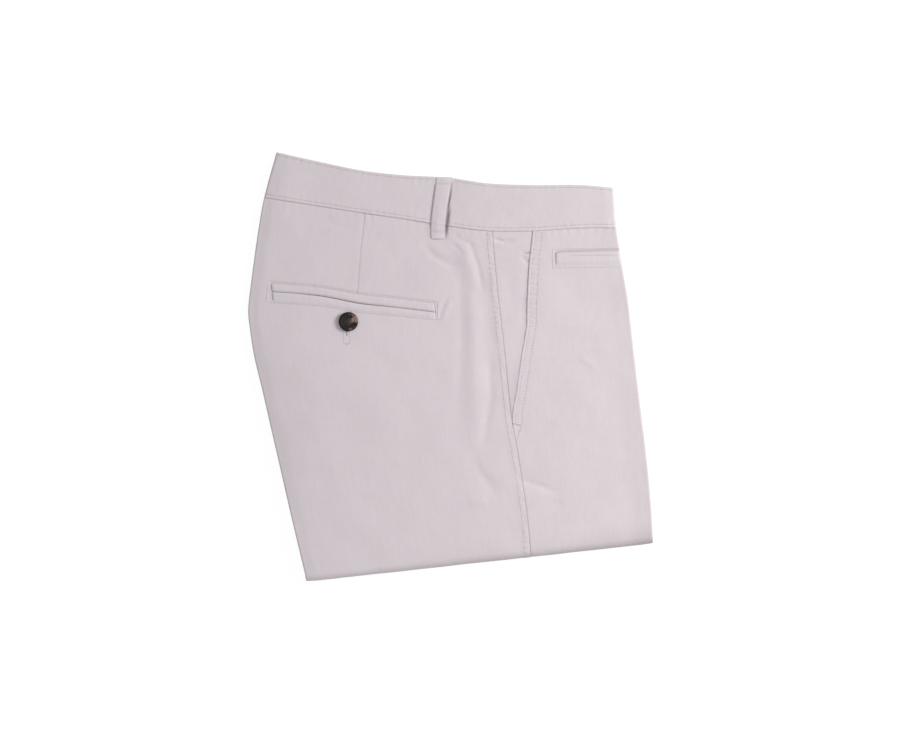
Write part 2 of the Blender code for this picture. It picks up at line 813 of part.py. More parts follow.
def loop_arch(share, x, y):
    """The loop stands off the band between its two sewn ends, more at its front edge."""
    top, foot = LOOP_SEWN
    stand = math.sin(math.pi * min(max((share - top) / (foot - top), 0.0), 1.0))
    towards_front = (x - (LOOP_TOP[0] + (LOOP_FOOT[0] - LOOP_TOP[0]) * share)) / LOOP_WIDTH
    return LOOP_ARCH * stand * (0.75 + 0.5 * towards_front)


def belt_loop(tree, finish):
    rows = []
    for i in range(LOOP_STEPS + 1):
        share = i / LOOP_STEPS
        x = LOOP_TOP[0] + (LOOP_FOOT[0] - LOOP_TOP[0]) * share
        y = LOOP_TOP[1] + (LOOP_FOOT[1] - LOOP_TOP[1]) * share
        half = LOOP_WIDTH / 2
        rows.append([(x + side * half, y) for side in (-1.0, -0.5, 0.0, 0.5, 1.0)])
    return laid_strip("belt_loop_back_right", tree, rows, LOOP_PLY, finish, loop_arch)


def back_button(tree, finish):
    """A four-hole button with a raised rim, turned and then drilled."""
    radius = BUTTON_DIAMETER / 2
    seat = max(
        surface_height(tree, BUTTON_X + radius * math.cos(a), BUTTON_Y + radius * math.sin(a))
        for a in [math.pi * i / 8 for i in range(16)]
    ) + GAP
    profile = (
        (0.0, 0.0), (radius - 1.6, 0.0), (radius - 0.3, 0.9), (radius, 1.6),
        (radius - 0.5, BUTTON_THICKNESS - 0.2), (radius - 1.4, BUTTON_THICKNESS),
        (radius - 2.4, BUTTON_THICKNESS - 0.3), (radius - 3.6, BUTTON_THICKNESS - 0.9),
        (0.0, BUTTON_THICKNESS - 1.0),
    )
    mesh = bmesh.new()
    chain = [mesh.verts.new((r, 0.0, z)) for r, z in profile]
    edges = [mesh.edges.new(pair) for pair in zip(chain, chain[1:])]
    bmesh.ops.spin(
        mesh, geom=chain + edges, cent=(0, 0, 0), axis=(0, 0, 1),
        angle=2 * math.pi, steps=BUTTON_SIDES,
    )
    bmesh.ops.remove_doubles(mesh, verts=mesh.verts, dist=MELT)
    bmesh.ops.translate(mesh, vec=(BUTTON_X, BUTTON_Y, seat), verts=mesh.verts)
    button = finish_mesh("back_pocket_button", mesh, finish)
    for i in range(4):
        turn = math.pi / 4 + math.pi / 2 * i
        x = BUTTON_X + HOLE_RING * math.cos(turn)
        y = BUTTON_Y + HOLE_RING * math.sin(turn)
        drill = bmesh.new()
        bmesh.ops.create_cone(
            drill, cap_ends=True, segments=10, radius1=HOLE_RADIUS, radius2=HOLE_RADIUS,
            depth=3 * BUTTON_THICKNESS,
        )
        bmesh.ops.translate(drill, vec=(x, y, seat + BUTTON_THICKNESS / 2), verts=drill.verts)
        cutter = finish_mesh(f"button_hole_cutter_{i}", drill, finish)
        cutter.hide_render = True
        cutter.display_type = "WIRE"
        cut = button.modifiers.new(f"hole_{i}", "BOOLEAN")
        cut.operation = "DIFFERENCE"
        cut.object = cutter
    return button


def main():
    for thing in list(bpy.data.objects):
        bpy.data.objects.remove(thing)

    twill = material("stone_twill", CLOTH, 0.9)
    twill_shade = material("stone_twill_hidden", CLOTH_SHADE, 0.92)
    horn = material("tortoiseshell_button", BUTTON_BROWN, 0.3)

    back = back_panel(twill)
    front = front_panel(twill)
    pocket_facing(twill)
    folded_layers(twill_shade)
    upper_band = waistband("waistband_right", True, 0.0, twill)
    waistband("waistband_left", False, 0.8, twill)

    cloth = surfaces_of([back, front, upper_band])
    back_pocket(cloth, twill)
    coin_pocket(cloth, twill)
    belt_loop(cloth, twill)
    back_button(cloth, horn)


main()
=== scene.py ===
# %% [markdown]
# # Chino shorts, folded flat
#
# A pair of cotton twill shorts lies on a white table. Both halves are folded together along the
# leg creases, and both leg ends are turned under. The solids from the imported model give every
# size and place. This lesson dresses them: each rigid wall is replaced by a thin sheet with
# creases, seams, stitches and a twill finish.

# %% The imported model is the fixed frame
import math

import bmesh
import bpy
import numpy as np
from mathutils import Matrix, Vector
from mathutils.bvhtree import BVHTree


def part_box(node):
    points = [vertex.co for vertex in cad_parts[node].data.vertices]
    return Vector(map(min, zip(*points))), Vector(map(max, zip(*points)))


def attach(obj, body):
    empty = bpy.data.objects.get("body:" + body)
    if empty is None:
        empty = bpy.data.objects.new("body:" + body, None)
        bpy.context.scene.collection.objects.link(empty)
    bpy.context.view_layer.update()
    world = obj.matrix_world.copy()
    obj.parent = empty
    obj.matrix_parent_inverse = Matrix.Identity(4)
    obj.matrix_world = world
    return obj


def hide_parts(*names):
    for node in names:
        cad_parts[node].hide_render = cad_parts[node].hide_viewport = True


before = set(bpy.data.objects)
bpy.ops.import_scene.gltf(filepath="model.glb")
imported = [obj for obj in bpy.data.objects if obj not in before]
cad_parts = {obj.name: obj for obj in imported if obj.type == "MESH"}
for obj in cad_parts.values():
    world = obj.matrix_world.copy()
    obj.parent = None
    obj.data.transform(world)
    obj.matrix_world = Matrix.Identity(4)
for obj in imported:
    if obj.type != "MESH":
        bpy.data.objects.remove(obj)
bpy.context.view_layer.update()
bpy.ops.object.select_all(action="DESELECT")

# %% [markdown]
# ## The sizes that the solids were made from
#
# The cloth must follow the solids exactly, so their driving sizes are repeated here, in
# millimetres. The outline is a short table: for each height on the garment it says where the
# back fold, the side seam, the pocket mouth and the front fold are.

# %% Driving sizes and the outline
MM = 0.001
GAP = 0.3
ROLL = 3.0
HALF_STACK = 2 * (ROLL + GAP)
FLAT_HEIGHT = 7.2
HEM_LEVEL = 158.0
HEM_DEPTH = 25.0
LAST_STRAIGHT = 160.0
WAIST_LEVEL = 290.0
POCKET_END = 114.0
BAND_PLY = 1.9
BAND_GAP = 0.35
BAND_HEIGHT = 4 * BAND_PLY + 3 * BAND_GAP
BAND_DIP = 1.2
BAND_STEP = 0.5
FRONT_TUCK = 115.0
BACK_TUCK = 9.0
TILT = math.radians(6.31)  # slope of the lower fold
LOWER_FOLD_Y = -175.0
EDGE_REST = 24.0  # a side this far outside the leg below it no longer rests on it
BACK_SLOPE, FRONT_SLOPE = 92.0, 26.0  # the cloth comes down over this distance outside that leg
SLOPE_INSIDE = 14.0  # and this much inside it
COVER_ENDS = (140.0, 240.0)  # levels over which the turned-under legs stop lifting the cloth

OUTLINE = {
    "y": (-200, -160, -125, -85, -47, -20, 10, 35, 48, 60, 90, 120, 148, 190),
    "back_fold": (-123.2, -132.9, -141.2, -150.4, -159.2, -165.4, -172.6, -176.5, -177.8,
                  -177.0, -173.2, -168.9, -163.9, -152.5),
    "side_seam": (73.3, 70.1, 66.6, 60.6, 54.0, 50.9, 47.8, 45.1, 43.6, 42.1, 39.2, 36.9,
                  36.9, 36.9),
    "pocket_mouth": (73.3, 70.1, 66.6, 60.6, 54.4, 58.2, 62.4, 66.7, 67.2, 67.6, 69.2, 72.4,
                     73.0, 73.0),
    "front_fold": (179.0, 178.0, 176.4, 172.8, 168.3, 165.0, 161.5, 158.8, 157.3, 155.9,
                   151.0, 146.2, 144.0, 141.4),
}
WAIST = {
    "x": (-175, -150, -115, -77, -40, -2, 33, 72, 115, 150),
    "seam": (150.4, 146.5, 141.0, 135.1, 129.6, 123.6, 119.3, 119.2, 121.8, 121.9),
    "top_edge": (193.8, 188.0, 180.2, 172.5, 168.3, 166.3, 161.2, 159.7, 159.7, 156.6),
}
LEAN = {"back_fold": 0.105, "side_seam": 0.008, "front_fold": -0.044}


def smooth(table, column, key, where):
    """A smooth curve through one column of a table."""
    keys = np.array(table[key], float)
    values = np.array(table[column], float)
    slopes = np.empty_like(values)
    slopes[1:-1] = (values[2:] - values[:-2]) / (keys[2:] - keys[:-2])
    slopes[0] = (values[1] - values[0]) / (keys[1] - keys[0])
    slopes[-1] = (values[-1] - values[-2]) / (keys[-1] - keys[-2])
    where = np.clip(where, keys[0], keys[-1])
    here = np.clip(np.searchsorted(keys, where, side="right") - 1, 0, len(keys) - 2)
    span = keys[here + 1] - keys[here]
    t = (where - keys[here]) / span
    return (
        values[here] * (1 + 2 * t) * (1 - t) ** 2
        + values[here + 1] * t * t * (3 - 2 * t)
        + slopes[here] * span * t * (1 - t) ** 2
        - slopes[here + 1] * span * t * t * (1 - t)
    )


def ease(value, start, end):
    """0 before start, 1 after end, smooth between them."""
    t = np.clip((value - start) / (end - start), 0.0, 1.0)
    return t * t * (3 - 2 * t)


def waist_seam(x):
    return smooth(WAIST, "seam", "x", x)


def waist_top(x):
    return smooth(WAIST, "top_edge", "x", x)


print("waist seam at the loop:", round(float(waist_seam(-10.0)), 2), "mm")

# %% [markdown]
# ## Levels: a coordinate that runs with the cloth
#
# A level is a distance from the lower fold. Lines of equal level run parallel to that fold and
# ease into the curve of the waist seam. A point of the cloth is then an x, a level and a depth
# below the top of the stack. Where the legs turn under, the depth becomes a radius, so that one
# recipe serves the top, the fold and the underside.

# %% From level to place
def level_y(level, x):
    """The y of a level at x."""
    straight = LOWER_FOLD_Y + HALF_STACK / math.cos(TILT) + x * math.tan(TILT)
    line = straight + np.minimum(level, LAST_STRAIGHT) / math.cos(TILT)
    share = np.maximum(0.0, (level - LAST_STRAIGHT) / (WAIST_LEVEL - LAST_STRAIGHT))
    return line + (waist_seam(x) - line) * share


def level_at(x, y):
    """The level of a place on the top side."""
    straight = LOWER_FOLD_Y + HALF_STACK / math.cos(TILT) + x * math.tan(TILT)
    last = straight + LAST_STRAIGHT / math.cos(TILT)
    bent = (WAIST_LEVEL - LAST_STRAIGHT) * (y - last) / (waist_seam(x) - last)
    return np.where(y < last, (y - straight) * math.cos(TILT), LAST_STRAIGHT + bent)


def edge_x(name, level):
    """The x of a fold, the side seam or the pocket mouth at a level."""
    x = np.zeros_like(np.asarray(level, float))
    for _ in range(12):
        x = smooth(OUTLINE, name, "y", level_y(level, x))
    return x


def turned_x(name, level):
    """The same lines on the part that is turned under."""
    lean = LEAN[name] * math.cos(TILT) - math.sin(TILT)
    return edge_x(name, np.zeros_like(np.asarray(level, float))) + level * lean


def band_top(x):
    """Top of the waistband: it sinks between the back fold and the tucked front."""
    dip = ease(x, -150.0, -112.0) * (1 - ease(x, -14.0, 24.0))
    return BAND_HEIGHT - BAND_DIP * dip


def side_cover(from_edge, inset, reach):
    """How far the turned-under legs lift the cloth near a side, from 0 to 1."""
    at_edge = 1 - ease(inset, 0.0, EDGE_REST)
    return at_edge + (1 - at_edge) * ease(from_edge, inset - reach, inset + SLOPE_INSIDE)


def cover_at(x, level):
    """The same for a place, with both sides and the hem's distance counted."""
    turned = np.minimum(level, HEM_LEVEL)
    cover = 1 - ease(level, *COVER_ENDS)
    for name, sign, reach in (("back_fold", 1, BACK_SLOPE), ("front_fold", -1, FRONT_SLOPE)):
        inset = sign * (turned_x(name, turned) - edge_x(name, turned))
        cover = cover * side_cover(sign * (x - edge_x(name, level)), inset, reach)
    return cover


# %% [markdown]
# ## Creases
#
# Cloth that has been folded and handled keeps soft ridges and troughs. Each is one line through
# a few points, a height, and a width on either side, so one flank can be sharper than the other.
# They are listed one by one and are all different. Random noise alone would look like crumpled
# paper; a few listed creases with a little noise look like cloth.

# %% Ridges and troughs, listed one by one
def ridge(x, y, points, rise, left, right, fade=True):
    """A soft line of cloth. Left and right are its widths on each side as it runs."""
    points = np.array(points, float)
    lengths = np.linalg.norm(np.diff(points, axis=0), axis=1)
    starts = np.concatenate([[0.0], np.cumsum(lengths)])
    best = np.full(np.shape(x), 1e9)
    signed = np.zeros(np.shape(x))
    run = np.zeros(np.shape(x))
    for (ax, ay), (bx, by), length, start in zip(points, points[1:], lengths, starts):
        ux, uy = (bx - ax) / length, (by - ay) / length
        along = np.clip((x - ax) * ux + (y - ay) * uy, 0.0, length)
        dx, dy = x - ax - along * ux, y - ay - along * uy
        distance = np.hypot(dx, dy)
        nearer = distance < best
        best = np.where(nearer, distance, best)
        signed = np.where(nearer, ux * dy - uy * dx, signed)
        run = np.where(nearer, start + along, run)
    width = np.where(signed > 0, left, right)
    share = run / starts[-1]
    taper = ease(share, -0.12, 0.3) * (1 - ease(share, 0.7, 1.12)) if fade else 1.0
    return rise * taper * np.exp(-((best / width) ** 2))


# Each: points from the waist downwards or from left to right, rise, width left, width right.
# The big folds are in the solids as well, so they belong to the height of the stack.
BIG_FOLDS = (
    (((11, 104), (19.5, 50)), 0.55, 8.5, 8.5),
    (((20.5, 42), (22, -66)), 0.6, 8, 8),
    (((3, 100), (14, 70)), -0.5, 8, 8),
    (((66, -99), (92, -107)), -0.6, 9, 9),
    (((22, -84), (36, -106)), -0.5, 8, 8),
    (((-140, 20), (-60, -30)), 0.4, 26, 26),
    (((96, 60), (130, 20)), 0.4, 22, 22),
)
CREASES = (
    (((6, 106), (13, 93), (17, 74), (18.5, 58), (20.5, 31), (22, 7), (22.5, -16), (22, -40)),
     0.27, 6.5, 5.5),
    (((6.5, 105), (14.5, 95), (19.5, 82), (22.5, 64)), 0.2, 4.5, 3.0),
    (((4, 86), (8, 70), (9, 54), (10, 31), (9.5, 7), (7.5, -16), (7, -40)), -0.3, 5.0, 4.0),
    (((17, 110), (20.6, 100), (24.4, 89.3), (26.8, 77.9), (28.4, 66)), -0.5, 1.5, 3.0),
    (((3.2, 120.4), (5.3, 113.6)), -0.3, 1.3, 1.5),
    (((9.7, 120.4), (9.9, 112.2)), 0.24, 1.3, 1.3),
    (((17.4, 117.2), (12.6, 110.6)), -0.32, 1.3, 1.6),
    (((1.5, 109.0), (12.3, 97.6)), -0.35, 1.8, 2.2),
    (((35.0, 14), (35.0, -28), (31.8, -48.5), (28, -68)), -0.55, 3.8, 3.8),
    (((24, -80), (30, -92), (44, -96)), 0.3, 5.0, 4.0),
    (((23, -82), (29, -96), (38, -111)), -0.24, 3.8, 3.4),
    (((16, -119), (33, -117)), 0.45, 5.0, 4.0),
    (((63, -100.0), (75, -102.8), (91, -108.2)), -0.62, 1.7, 3.0),
    (((84, -120), (100, -122.5)), -0.35, 5.0, 4.0),
    (((-23.5, 107), (-14.7, 97.2), (-3, 90.4), (6, 88.5)), -0.5, 4.0, 2.8),
    (((-18, 110), (-9, 101), (6, 98)), 0.3, 4.0, 4.0),
    (((2.9, 115.7), (17.6, 106.9), (22, 102.5)), -0.4, 2.8, 2.2),
    (((-1.6, 62.5), (-5.2, 55.6), (-7.4, 50.4), (-10.6, 40.5)), -0.5, 1.3, 1.1),
    (((0.0, 58), (-4.4, 49), (-6.5, 40)), 0.35, 2.4, 2.0),
    (((113, 8.7), (127.6, -1)), 0.3, 3.5, 2.5),
    (((99, 78), (124, 36), (122, -10)), -0.3, 12.0, 12.0),
    (((76, -54.4), (90, -48.5)), -0.25, 3.5, 3.0),
    (((-82, 19), (-60, 6), (-44, -7.5)), -0.2, 6.0, 6.0),
    (((-117, 30), (-147, 4)), -0.2, 7.0, 7.0),
    (((-112, 133), (-101, 124), (-88, 121)), -0.2, 3.0, 3.0),
    (((-95, -60), (-60, -74), (-20, -70)), -0.2, 9.0, 7.0),
    (((-120, -40), (-100, -90), (-96, -130)), 0.3, 12.0, 10.0),
    (((110, -60), (140, -72), (160, -70)), -0.25, 8.0, 6.0),
)
CLOTH_SEED = 11


def waves(u, v, length, seed, count=9):
    """Soft unevenness from -1 to 1: a few long waves that cross in every direction."""
    dice = np.random.default_rng(CLOTH_SEED + seed)
    total = np.zeros(np.broadcast(u, v).shape)
    for _ in range(count):
        turn, phase = dice.uniform(0, 2 * math.pi, 2)
        size = length * dice.uniform(0.7, 1.6)
        total += np.sin((u * math.cos(turn) + v * math.sin(turn)) * 2 * math.pi / size + phase)
    return total / math.sqrt(count)


def handled(x, y):
    """All the listed creases together, and a little unevenness."""
    total = sum(ridge(x, y, *row) for row in CREASES)
    return total + 0.09 * waves(x, y, 34.0, 1) + 0.035 * waves(x, y, 13.0, 2)


def height(x, level):
    """Top of the stack above the table, as the solids have it."""
    waist_rise = (band_top(x) - BAND_STEP - FLAT_HEIGHT) * ease(level, 230.0, WAIST_LEVEL)
    y = level_y(level, x)
    folds = sum(ridge(x, y, *row, fade=False) for row in BIG_FOLDS)
    folds = folds * ease(level, 8.0, 40.0) * (1 - ease(level, 262.0, WAIST_LEVEL))
    stack = FLAT_HEIGHT + (2 * HALF_STACK - FLAT_HEIGHT) * cover_at(x, level)
    return stack + waist_rise + folds


print("top of the stack at the middle:", round(float(height(0.0, 120.0)), 2), "mm")

# %% [markdown]
# ## Rows of a leg
#
# A leg sheet runs from the waist down the top side, round the lower fold and back along the
# underside to its hem. Its rows are close together where a seam or pocket needs fine form and
# further apart elsewhere, which keeps the mesh small.

# %% Rows, and the place of each point on them
def steps(start, end, size):
    """Evenly spaced numbers from start to just before end."""
    count = max(1, round(abs(end - start) / size))
    return list(np.linspace(start, end, count, endpoint=False))


FINE_TOP = np.array(
    [WAIST_LEVEL, 289.85, 289.6, 289.2, 288.6, 287.8]
    + steps(287.0, 262.0, 0.85)
    + steps(262.0, 198.0, 0.8)
    + steps(198.0, 12.0, 1.9)
    + steps(12.0, 0.0, 1.3)
    + [0.0]
)
FINE_TURN = np.linspace(0.0, math.pi, 19)[1:-1]
FINE_UNDER = np.array(
    steps(0.0, 130.0, 5.0) + steps(130.0, 157.0, 2.0) + [157.2, 157.8, HEM_LEVEL])
FINE_ROWS = (FINE_TOP, FINE_TURN, FINE_UNDER)
PLAIN_ROWS = (
    np.array(steps(WAIST_LEVEL, 0.0, 4.0) + [0.0]),
    FINE_TURN,
    np.array(steps(0.0, HEM_LEVEL, 5.0) + [HEM_LEVEL]),
)


def parts_of(rows):
    """Slices of the top, turned and under rows."""
    top, turn, under = (len(part) for part in rows)
    return slice(0, top), slice(top, top + turn), slice(top + turn, top + turn + under)


def line_x(rows, name):
    """The x of a seam or fold on every row."""
    top, turn, under = rows
    lowest = float(edge_x(name, 0.0))
    return np.concatenate([edge_x(name, top), np.full(len(turn), lowest), turned_x(name, under)])


def run_of(rows):
    """Length along the cloth from the lower fold, upwards positive."""
    top, turn, under = rows
    return np.concatenate([top, -turn * HALF_STACK, -math.pi * HALF_STACK - under])


def place(rows, x, depth):
    """Points of the stack for every row, from x and depth arrays of rows by columns."""
    top, turn, under = (part[:, None] for part in rows)
    a, b, c = parts_of(rows)
    out = np.empty(x.shape + (3,))
    out[a] = np.stack([x[a], level_y(top, x[a]), height(x[a], top) - depth[a]], -1)
    radius = HALF_STACK - depth[b]
    reach = radius * np.sin(turn)
    y = level_y(0.0, x[b])
    out[b] = np.stack(
        [x[b] + reach * math.sin(TILT), y - reach * math.cos(TILT),
         HALF_STACK + radius * np.cos(turn)], -1)
    out[c] = np.stack([x[c], level_y(under, x[c]), depth[c]], -1)
    return out


print("rows of a leg sheet:", sum(len(part) for part in FINE_ROWS))

# %% [markdown]
# ## A thin closed shell
#
# Twill is half a millimetre thick, so a sheet is a closed shell: a fine outer face, and an
# inner face with fewer points that nobody looks at closely. Both are grids, and the rims join
# them. The shell also gets a UV map that holds real lengths on the flat cloth, so the weave
# keeps its size round every fold, and an attribute of painted shade, which darkens its colour
# in seams, hollows, slits and folds.
# The inner face needs only every fourth column, so the rims at both ends join four outer points
# to two inner ones. A whole leg is a flattened tube instead: closed rings, one inside the other.

# %% Build shells and tubes from grids
INNER_STEP = 4


def finish_object(name, points, faces, flat, shade, material, rungs=None):
    """Flat is each point's place on the flat cloth, shade its painted shade from 0 to 1."""
    mesh = bpy.data.meshes.new(name)
    mesh.from_pydata((points * MM).tolist(), [], faces)
    mesh.materials.append(material)
    layer = mesh.uv_layers.new(name="cloth")
    corners = np.empty(len(mesh.loops), int)
    mesh.loops.foreach_get("vertex_index", corners)
    layer.data.foreach_set("uv", (flat * MM)[corners].astype(np.float32).ravel())
    # the first attribute is painted shade, which darkens the colour in seams, hollows and folds
    for key, values in (("painted_shade", shade), ("rungs", rungs)):
        if values is not None:
            attribute = mesh.attributes.new(key, "FLOAT", "POINT")
            attribute.data.foreach_set("value", values.astype(np.float32))
    work = bmesh.new()
    work.from_mesh(mesh)
    bmesh.ops.recalc_face_normals(work, faces=work.faces)
    work.to_mesh(mesh)
    work.free()
    mesh.shade_smooth()
    piece = bpy.data.objects.new(name, mesh)
    bpy.context.scene.collection.objects.link(piece)
    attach(piece, "root")
    return piece


def quads(here, after):
    """Four-sided faces between two rings of points, or between each ring and the next."""
    corners = [here, np.roll(here, -1, -1), np.roll(after, -1, -1), after]
    return np.stack(corners, -1).reshape(-1, 4).tolist()


def shell(name, outer, inner, flat, shade=0.0, rungs=0.0, finish=None, slot="twill",
          step=INNER_STEP):
    """Outer, inner and flat are grids of rows by columns. Shade is painted shade; it and the rungs
    are for the outside.
    """
    count, wide = outer.shape[:2]
    inner, flat_inner = inner[:, ::step][:, ::-1], flat[:, ::step][:, ::-1]
    thin = inner.shape[1]
    ring = wide + thin
    points = np.concatenate([outer, inner], axis=1).reshape(-1, 3)
    flat = np.concatenate([flat, flat_inner], axis=1).reshape(-1, 2)
    index = np.arange(count * ring).reshape(count, ring)
    faces = quads(index[:-1], index[1:])
    for row, forward in ((0, True), (count - 1, False)):
        for j in range(thin - 1):
            rim = [index[row, i] for i in range(j * step, (j + 1) * step + 1)]
            rim += [index[row, ring - 2 - j], index[row, ring - 1 - j]]
            faces.append([int(i) for i in (rim if forward else rim[::-1])])
    # painted shade and rungs go on the outer face only
    depth, ladder = np.zeros((2, count, ring))
    depth[:, :wide] = np.clip(shade, 0.0, 1.0)
    ladder[:, :wide] = rungs
    return finish_object(name, points, faces, flat, depth.ravel(), finish or shell_twill,
                         ladder.ravel())


def tube(name, outer, inner, flat, finish, slot):
    """A flattened leg: closed rings outside and inside, joined at both open ends."""
    count, ring = outer.shape[:2]
    points = np.concatenate([outer.reshape(-1, 3), inner.reshape(-1, 3)])
    a = np.arange(count * ring).reshape(count, ring)
    b = a + count * ring
    faces = quads(a[:-1], a[1:]) + quads(b[:-1], b[1:]) + quads(a[0], b[0]) + quads(a[-1], b[-1])
    return finish_object(name, points, faces, np.concatenate([flat.reshape(-1, 2)] * 2),
                         np.zeros(len(points)), finish)


# %% [markdown]
# ## Twill
#
# Cotton twill is matt, with a faint sheen from its brushed surface and fine diagonal ribs about
# half a millimetre apart. Ribs this fine are too many for a mesh, so they are bump. Slow uneven
# patches and streaks along the warp keep the colour from looking like paint. All of it reads the
# flat cloth's own lengths, so it stays in scale on every piece. Beside a seam, the attribute
# called rungs adds the small cross ridges that stitches pull into the cloth, as bump and as
# painted light and shade on them. A second attribute mixes in a darker colour: painted shade in
# seams, hollows and folds.

# %% Helpers for finishes
def add_node(tree, kind, **settings):
    node = tree.nodes.new(kind)
    for key, value in settings.items():
        setattr(node, key, value)
    return node


def new_finish(name):
    finish = bpy.data.materials.new(name)
    finish.use_nodes = True
    return finish, finish.node_tree, finish.node_tree.nodes["Principled BSDF"]


def sums(tree, operation, *values):
    """A Math node. Values are sockets or plain numbers."""
    node = add_node(tree, "ShaderNodeMath", operation=operation)
    for socket, value in zip(node.inputs, values):
        if isinstance(value, (int, float)):
            socket.default_value = value
        else:
            tree.links.new(value, socket)
    return node.outputs[0]


def weighed(tree, total, *parts):
    """Add sockets to a number, each with its own weight."""
    for socket, weight in parts:
        total = sums(tree, "MULTIPLY_ADD", socket, weight, total)
    return total


def noise_of(tree, vector, stretch, scale):
    """Noise that is drawn out along the warp where stretch is below 1."""
    mapping = add_node(tree, "ShaderNodeMapping")
    mapping.inputs["Scale"].default_value = (1.0, stretch, 1.0)
    noise = add_node(tree, "ShaderNodeTexNoise")
    noise.inputs["Scale"].default_value = scale
    noise.inputs["Detail"].default_value = 3.0
    tree.links.new(vector, mapping.inputs["Vector"])
    tree.links.new(mapping.outputs["Vector"], noise.inputs["Vector"])
    return noise.outputs["Fac"]


# %% [markdown]
# Colour and relief come from the same few patterns, each with its own weight, so that a thick
# yarn is both a little lighter and a little higher.

# %% The twill finish
RIB_BEAT = 2 * math.pi / 0.00058  # one diagonal rib for each 0.58 mm
RUNG_BEAT = 2 * math.pi / 0.0027  # one rung for each stitch between two rows


def twill(name, colour, shadow):
    """Colour is linear. Shadow is the colour of painted shade in seams, hollows and folds."""
    finish, tree, shader = new_finish(name)
    flat = add_node(tree, "ShaderNodeUVMap", uv_map="cloth").outputs["UV"]
    parts = add_node(tree, "ShaderNodeSeparateXYZ")
    tree.links.new(flat, parts.inputs[0])
    across, along = parts.outputs[0], parts.outputs[1]

    ribs = weighed(tree, sums(tree, "MULTIPLY", along, 0.75 * RIB_BEAT), (across, RIB_BEAT))
    ribs = sums(tree, "SINE", ribs)
    slubs = noise_of(tree, flat, 0.12, 900.0)
    streaks = noise_of(tree, flat, 0.05, 620.0)
    patches = noise_of(tree, flat, 1.0, 28.0)
    ladder = add_node(tree, "ShaderNodeAttribute", attribute_name="rungs").outputs["Fac"]
    rungs = weighed(tree, sums(tree, "MULTIPLY", along, RUNG_BEAT), (slubs, 3.0))
    rungs = sums(tree, "MULTIPLY", sums(tree, "SINE", rungs), ladder)
    # each noise is 0.5 on average, so the tone is 1 on average
    # the rungs also lighten and darken the tone: painted light and shade on the stitch puckers
    tone = weighed(tree, 1.0 - 0.5 * (0.09 + 0.06 + 0.08), (streaks, 0.09), (patches, 0.06),
                   (slubs, 0.08), (ribs, 0.012), (rungs, 0.03))
    # painted shade: the colour is mixed towards the shadow colour by this attribute
    seam = add_node(tree, "ShaderNodeAttribute", attribute_name="painted_shade").outputs["Fac"]
    mix = add_node(tree, "ShaderNodeMix", data_type="RGBA")
    mix.inputs["A"].default_value = (*colour, 1.0)
    mix.inputs["B"].default_value = (*shadow, 1.0)
    tree.links.new(seam, mix.inputs["Factor"])
    bright = add_node(tree, "ShaderNodeVectorMath", operation="SCALE")
    tree.links.new(mix.outputs["Result"], bright.inputs[0])
    tree.links.new(tone, bright.inputs["Scale"])
    tree.links.new(bright.outputs[0], shader.inputs["Base Color"])

    relief = weighed(tree, 0.0, (ribs, 0.5), (slubs, 1.6), (rungs, 1.5))
    bump = add_node(tree, "ShaderNodeBump")
    bump.inputs["Strength"].default_value = 0.35
    bump.inputs["Distance"].default_value = 0.00012
    tree.links.new(relief, bump.inputs["Height"])
    tree.links.new(bump.outputs["Normal"], shader.inputs["Normal"])
    shader.inputs["Roughness"].default_value = 0.88
    shader.inputs["Specular IOR Level"].default_value = 0.25
    shader.inputs["Sheen Weight"].default_value = 0.12
    shader.inputs["Sheen Roughness"].default_value = 0.45
    return finish


STONE = (0.56, 0.508, 0.533)
# the colour of painted shade in seams, hollows and folds
STONE_PAINTED_SHADE = (0.16, 0.13, 0.145)
THREAD = (0.57, 0.515, 0.545)
shell_twill = twill("stone_twill", STONE, STONE_PAINTED_SHADE)
# the hidden layers get a copy of the twill painted a little darker: painted shade between the
# layers
inner_twill_shaded = twill("stone_twill_inside_shaded", (0.52, 0.47, 0.495), STONE_PAINTED_SHADE)
print("finishes:", [m.name for m in (shell_twill, inner_twill_shaded)])

# %% [markdown]
# ## Seam relief
#
# Where pieces are joined, the spare cloth is pressed to one side and stitched down. It makes a
# low step beside the seam and a groove under each row of stitches, and the cloth puckers a
# little between the stitches. These forms are a few tenths of a millimetre high, but light
# finds them.

# %% Helpers for seams
CLOTH_PLY = 0.65


def groove(distance, width=0.75):
    """1 on a line and 0 away from it, such as where a row of stitches bites."""
    return np.exp(-((distance / width) ** 2))


def pucker(distance, run, width, seed, pitch=7.0):
    """Small uneven waves that die away from a stitched line."""
    beat = 0.6 * np.sin(run * 2 * math.pi / pitch + 2.0 * waves(run, 0.0, 60.0, seed, 5))
    beat = beat + 0.4 * waves(run, distance * 0.5, pitch * 0.8, seed + 50, 5)
    return beat * np.exp(-((distance / width) ** 2))


def rolled_columns(hook, radius, ply, ring=11):
    """The hook and roll of a side fold: outer and inner distance in, outer and inner depth."""
    turns = np.radians(np.linspace(-90, 90, ring))
    inner = radius - ply
    hooks = np.array([hook, hook * 0.6, radius + 1.5])
    out = np.concatenate([hooks, radius - radius * np.cos(turns)])
    inn = np.concatenate([hooks, radius - inner * np.cos(turns)])
    out_depth = np.concatenate([np.full(3, ROLL), radius - radius * np.sin(turns)])
    in_depth = np.concatenate([np.full(3, ROLL - ply), radius - inner * np.sin(turns)])
    return out, inn, out_depth, in_depth


def side_droop(distance, amount=0.75):
    """The cloth rounds down over the last millimetres before a side fold."""
    return amount * (1 - ease(distance, 0.5, 11.0))


print("a ply of cloth:", CLOTH_PLY, "mm; it sinks by", side_droop(0.5), "mm at a side fold")

# %% [markdown]
# ## Lines on the back panel
#
# The dart, the pocket and the belt loop leave their marks on the cloth. The place of each is set
# once, and then serves the form, the painted shade and the stitches.

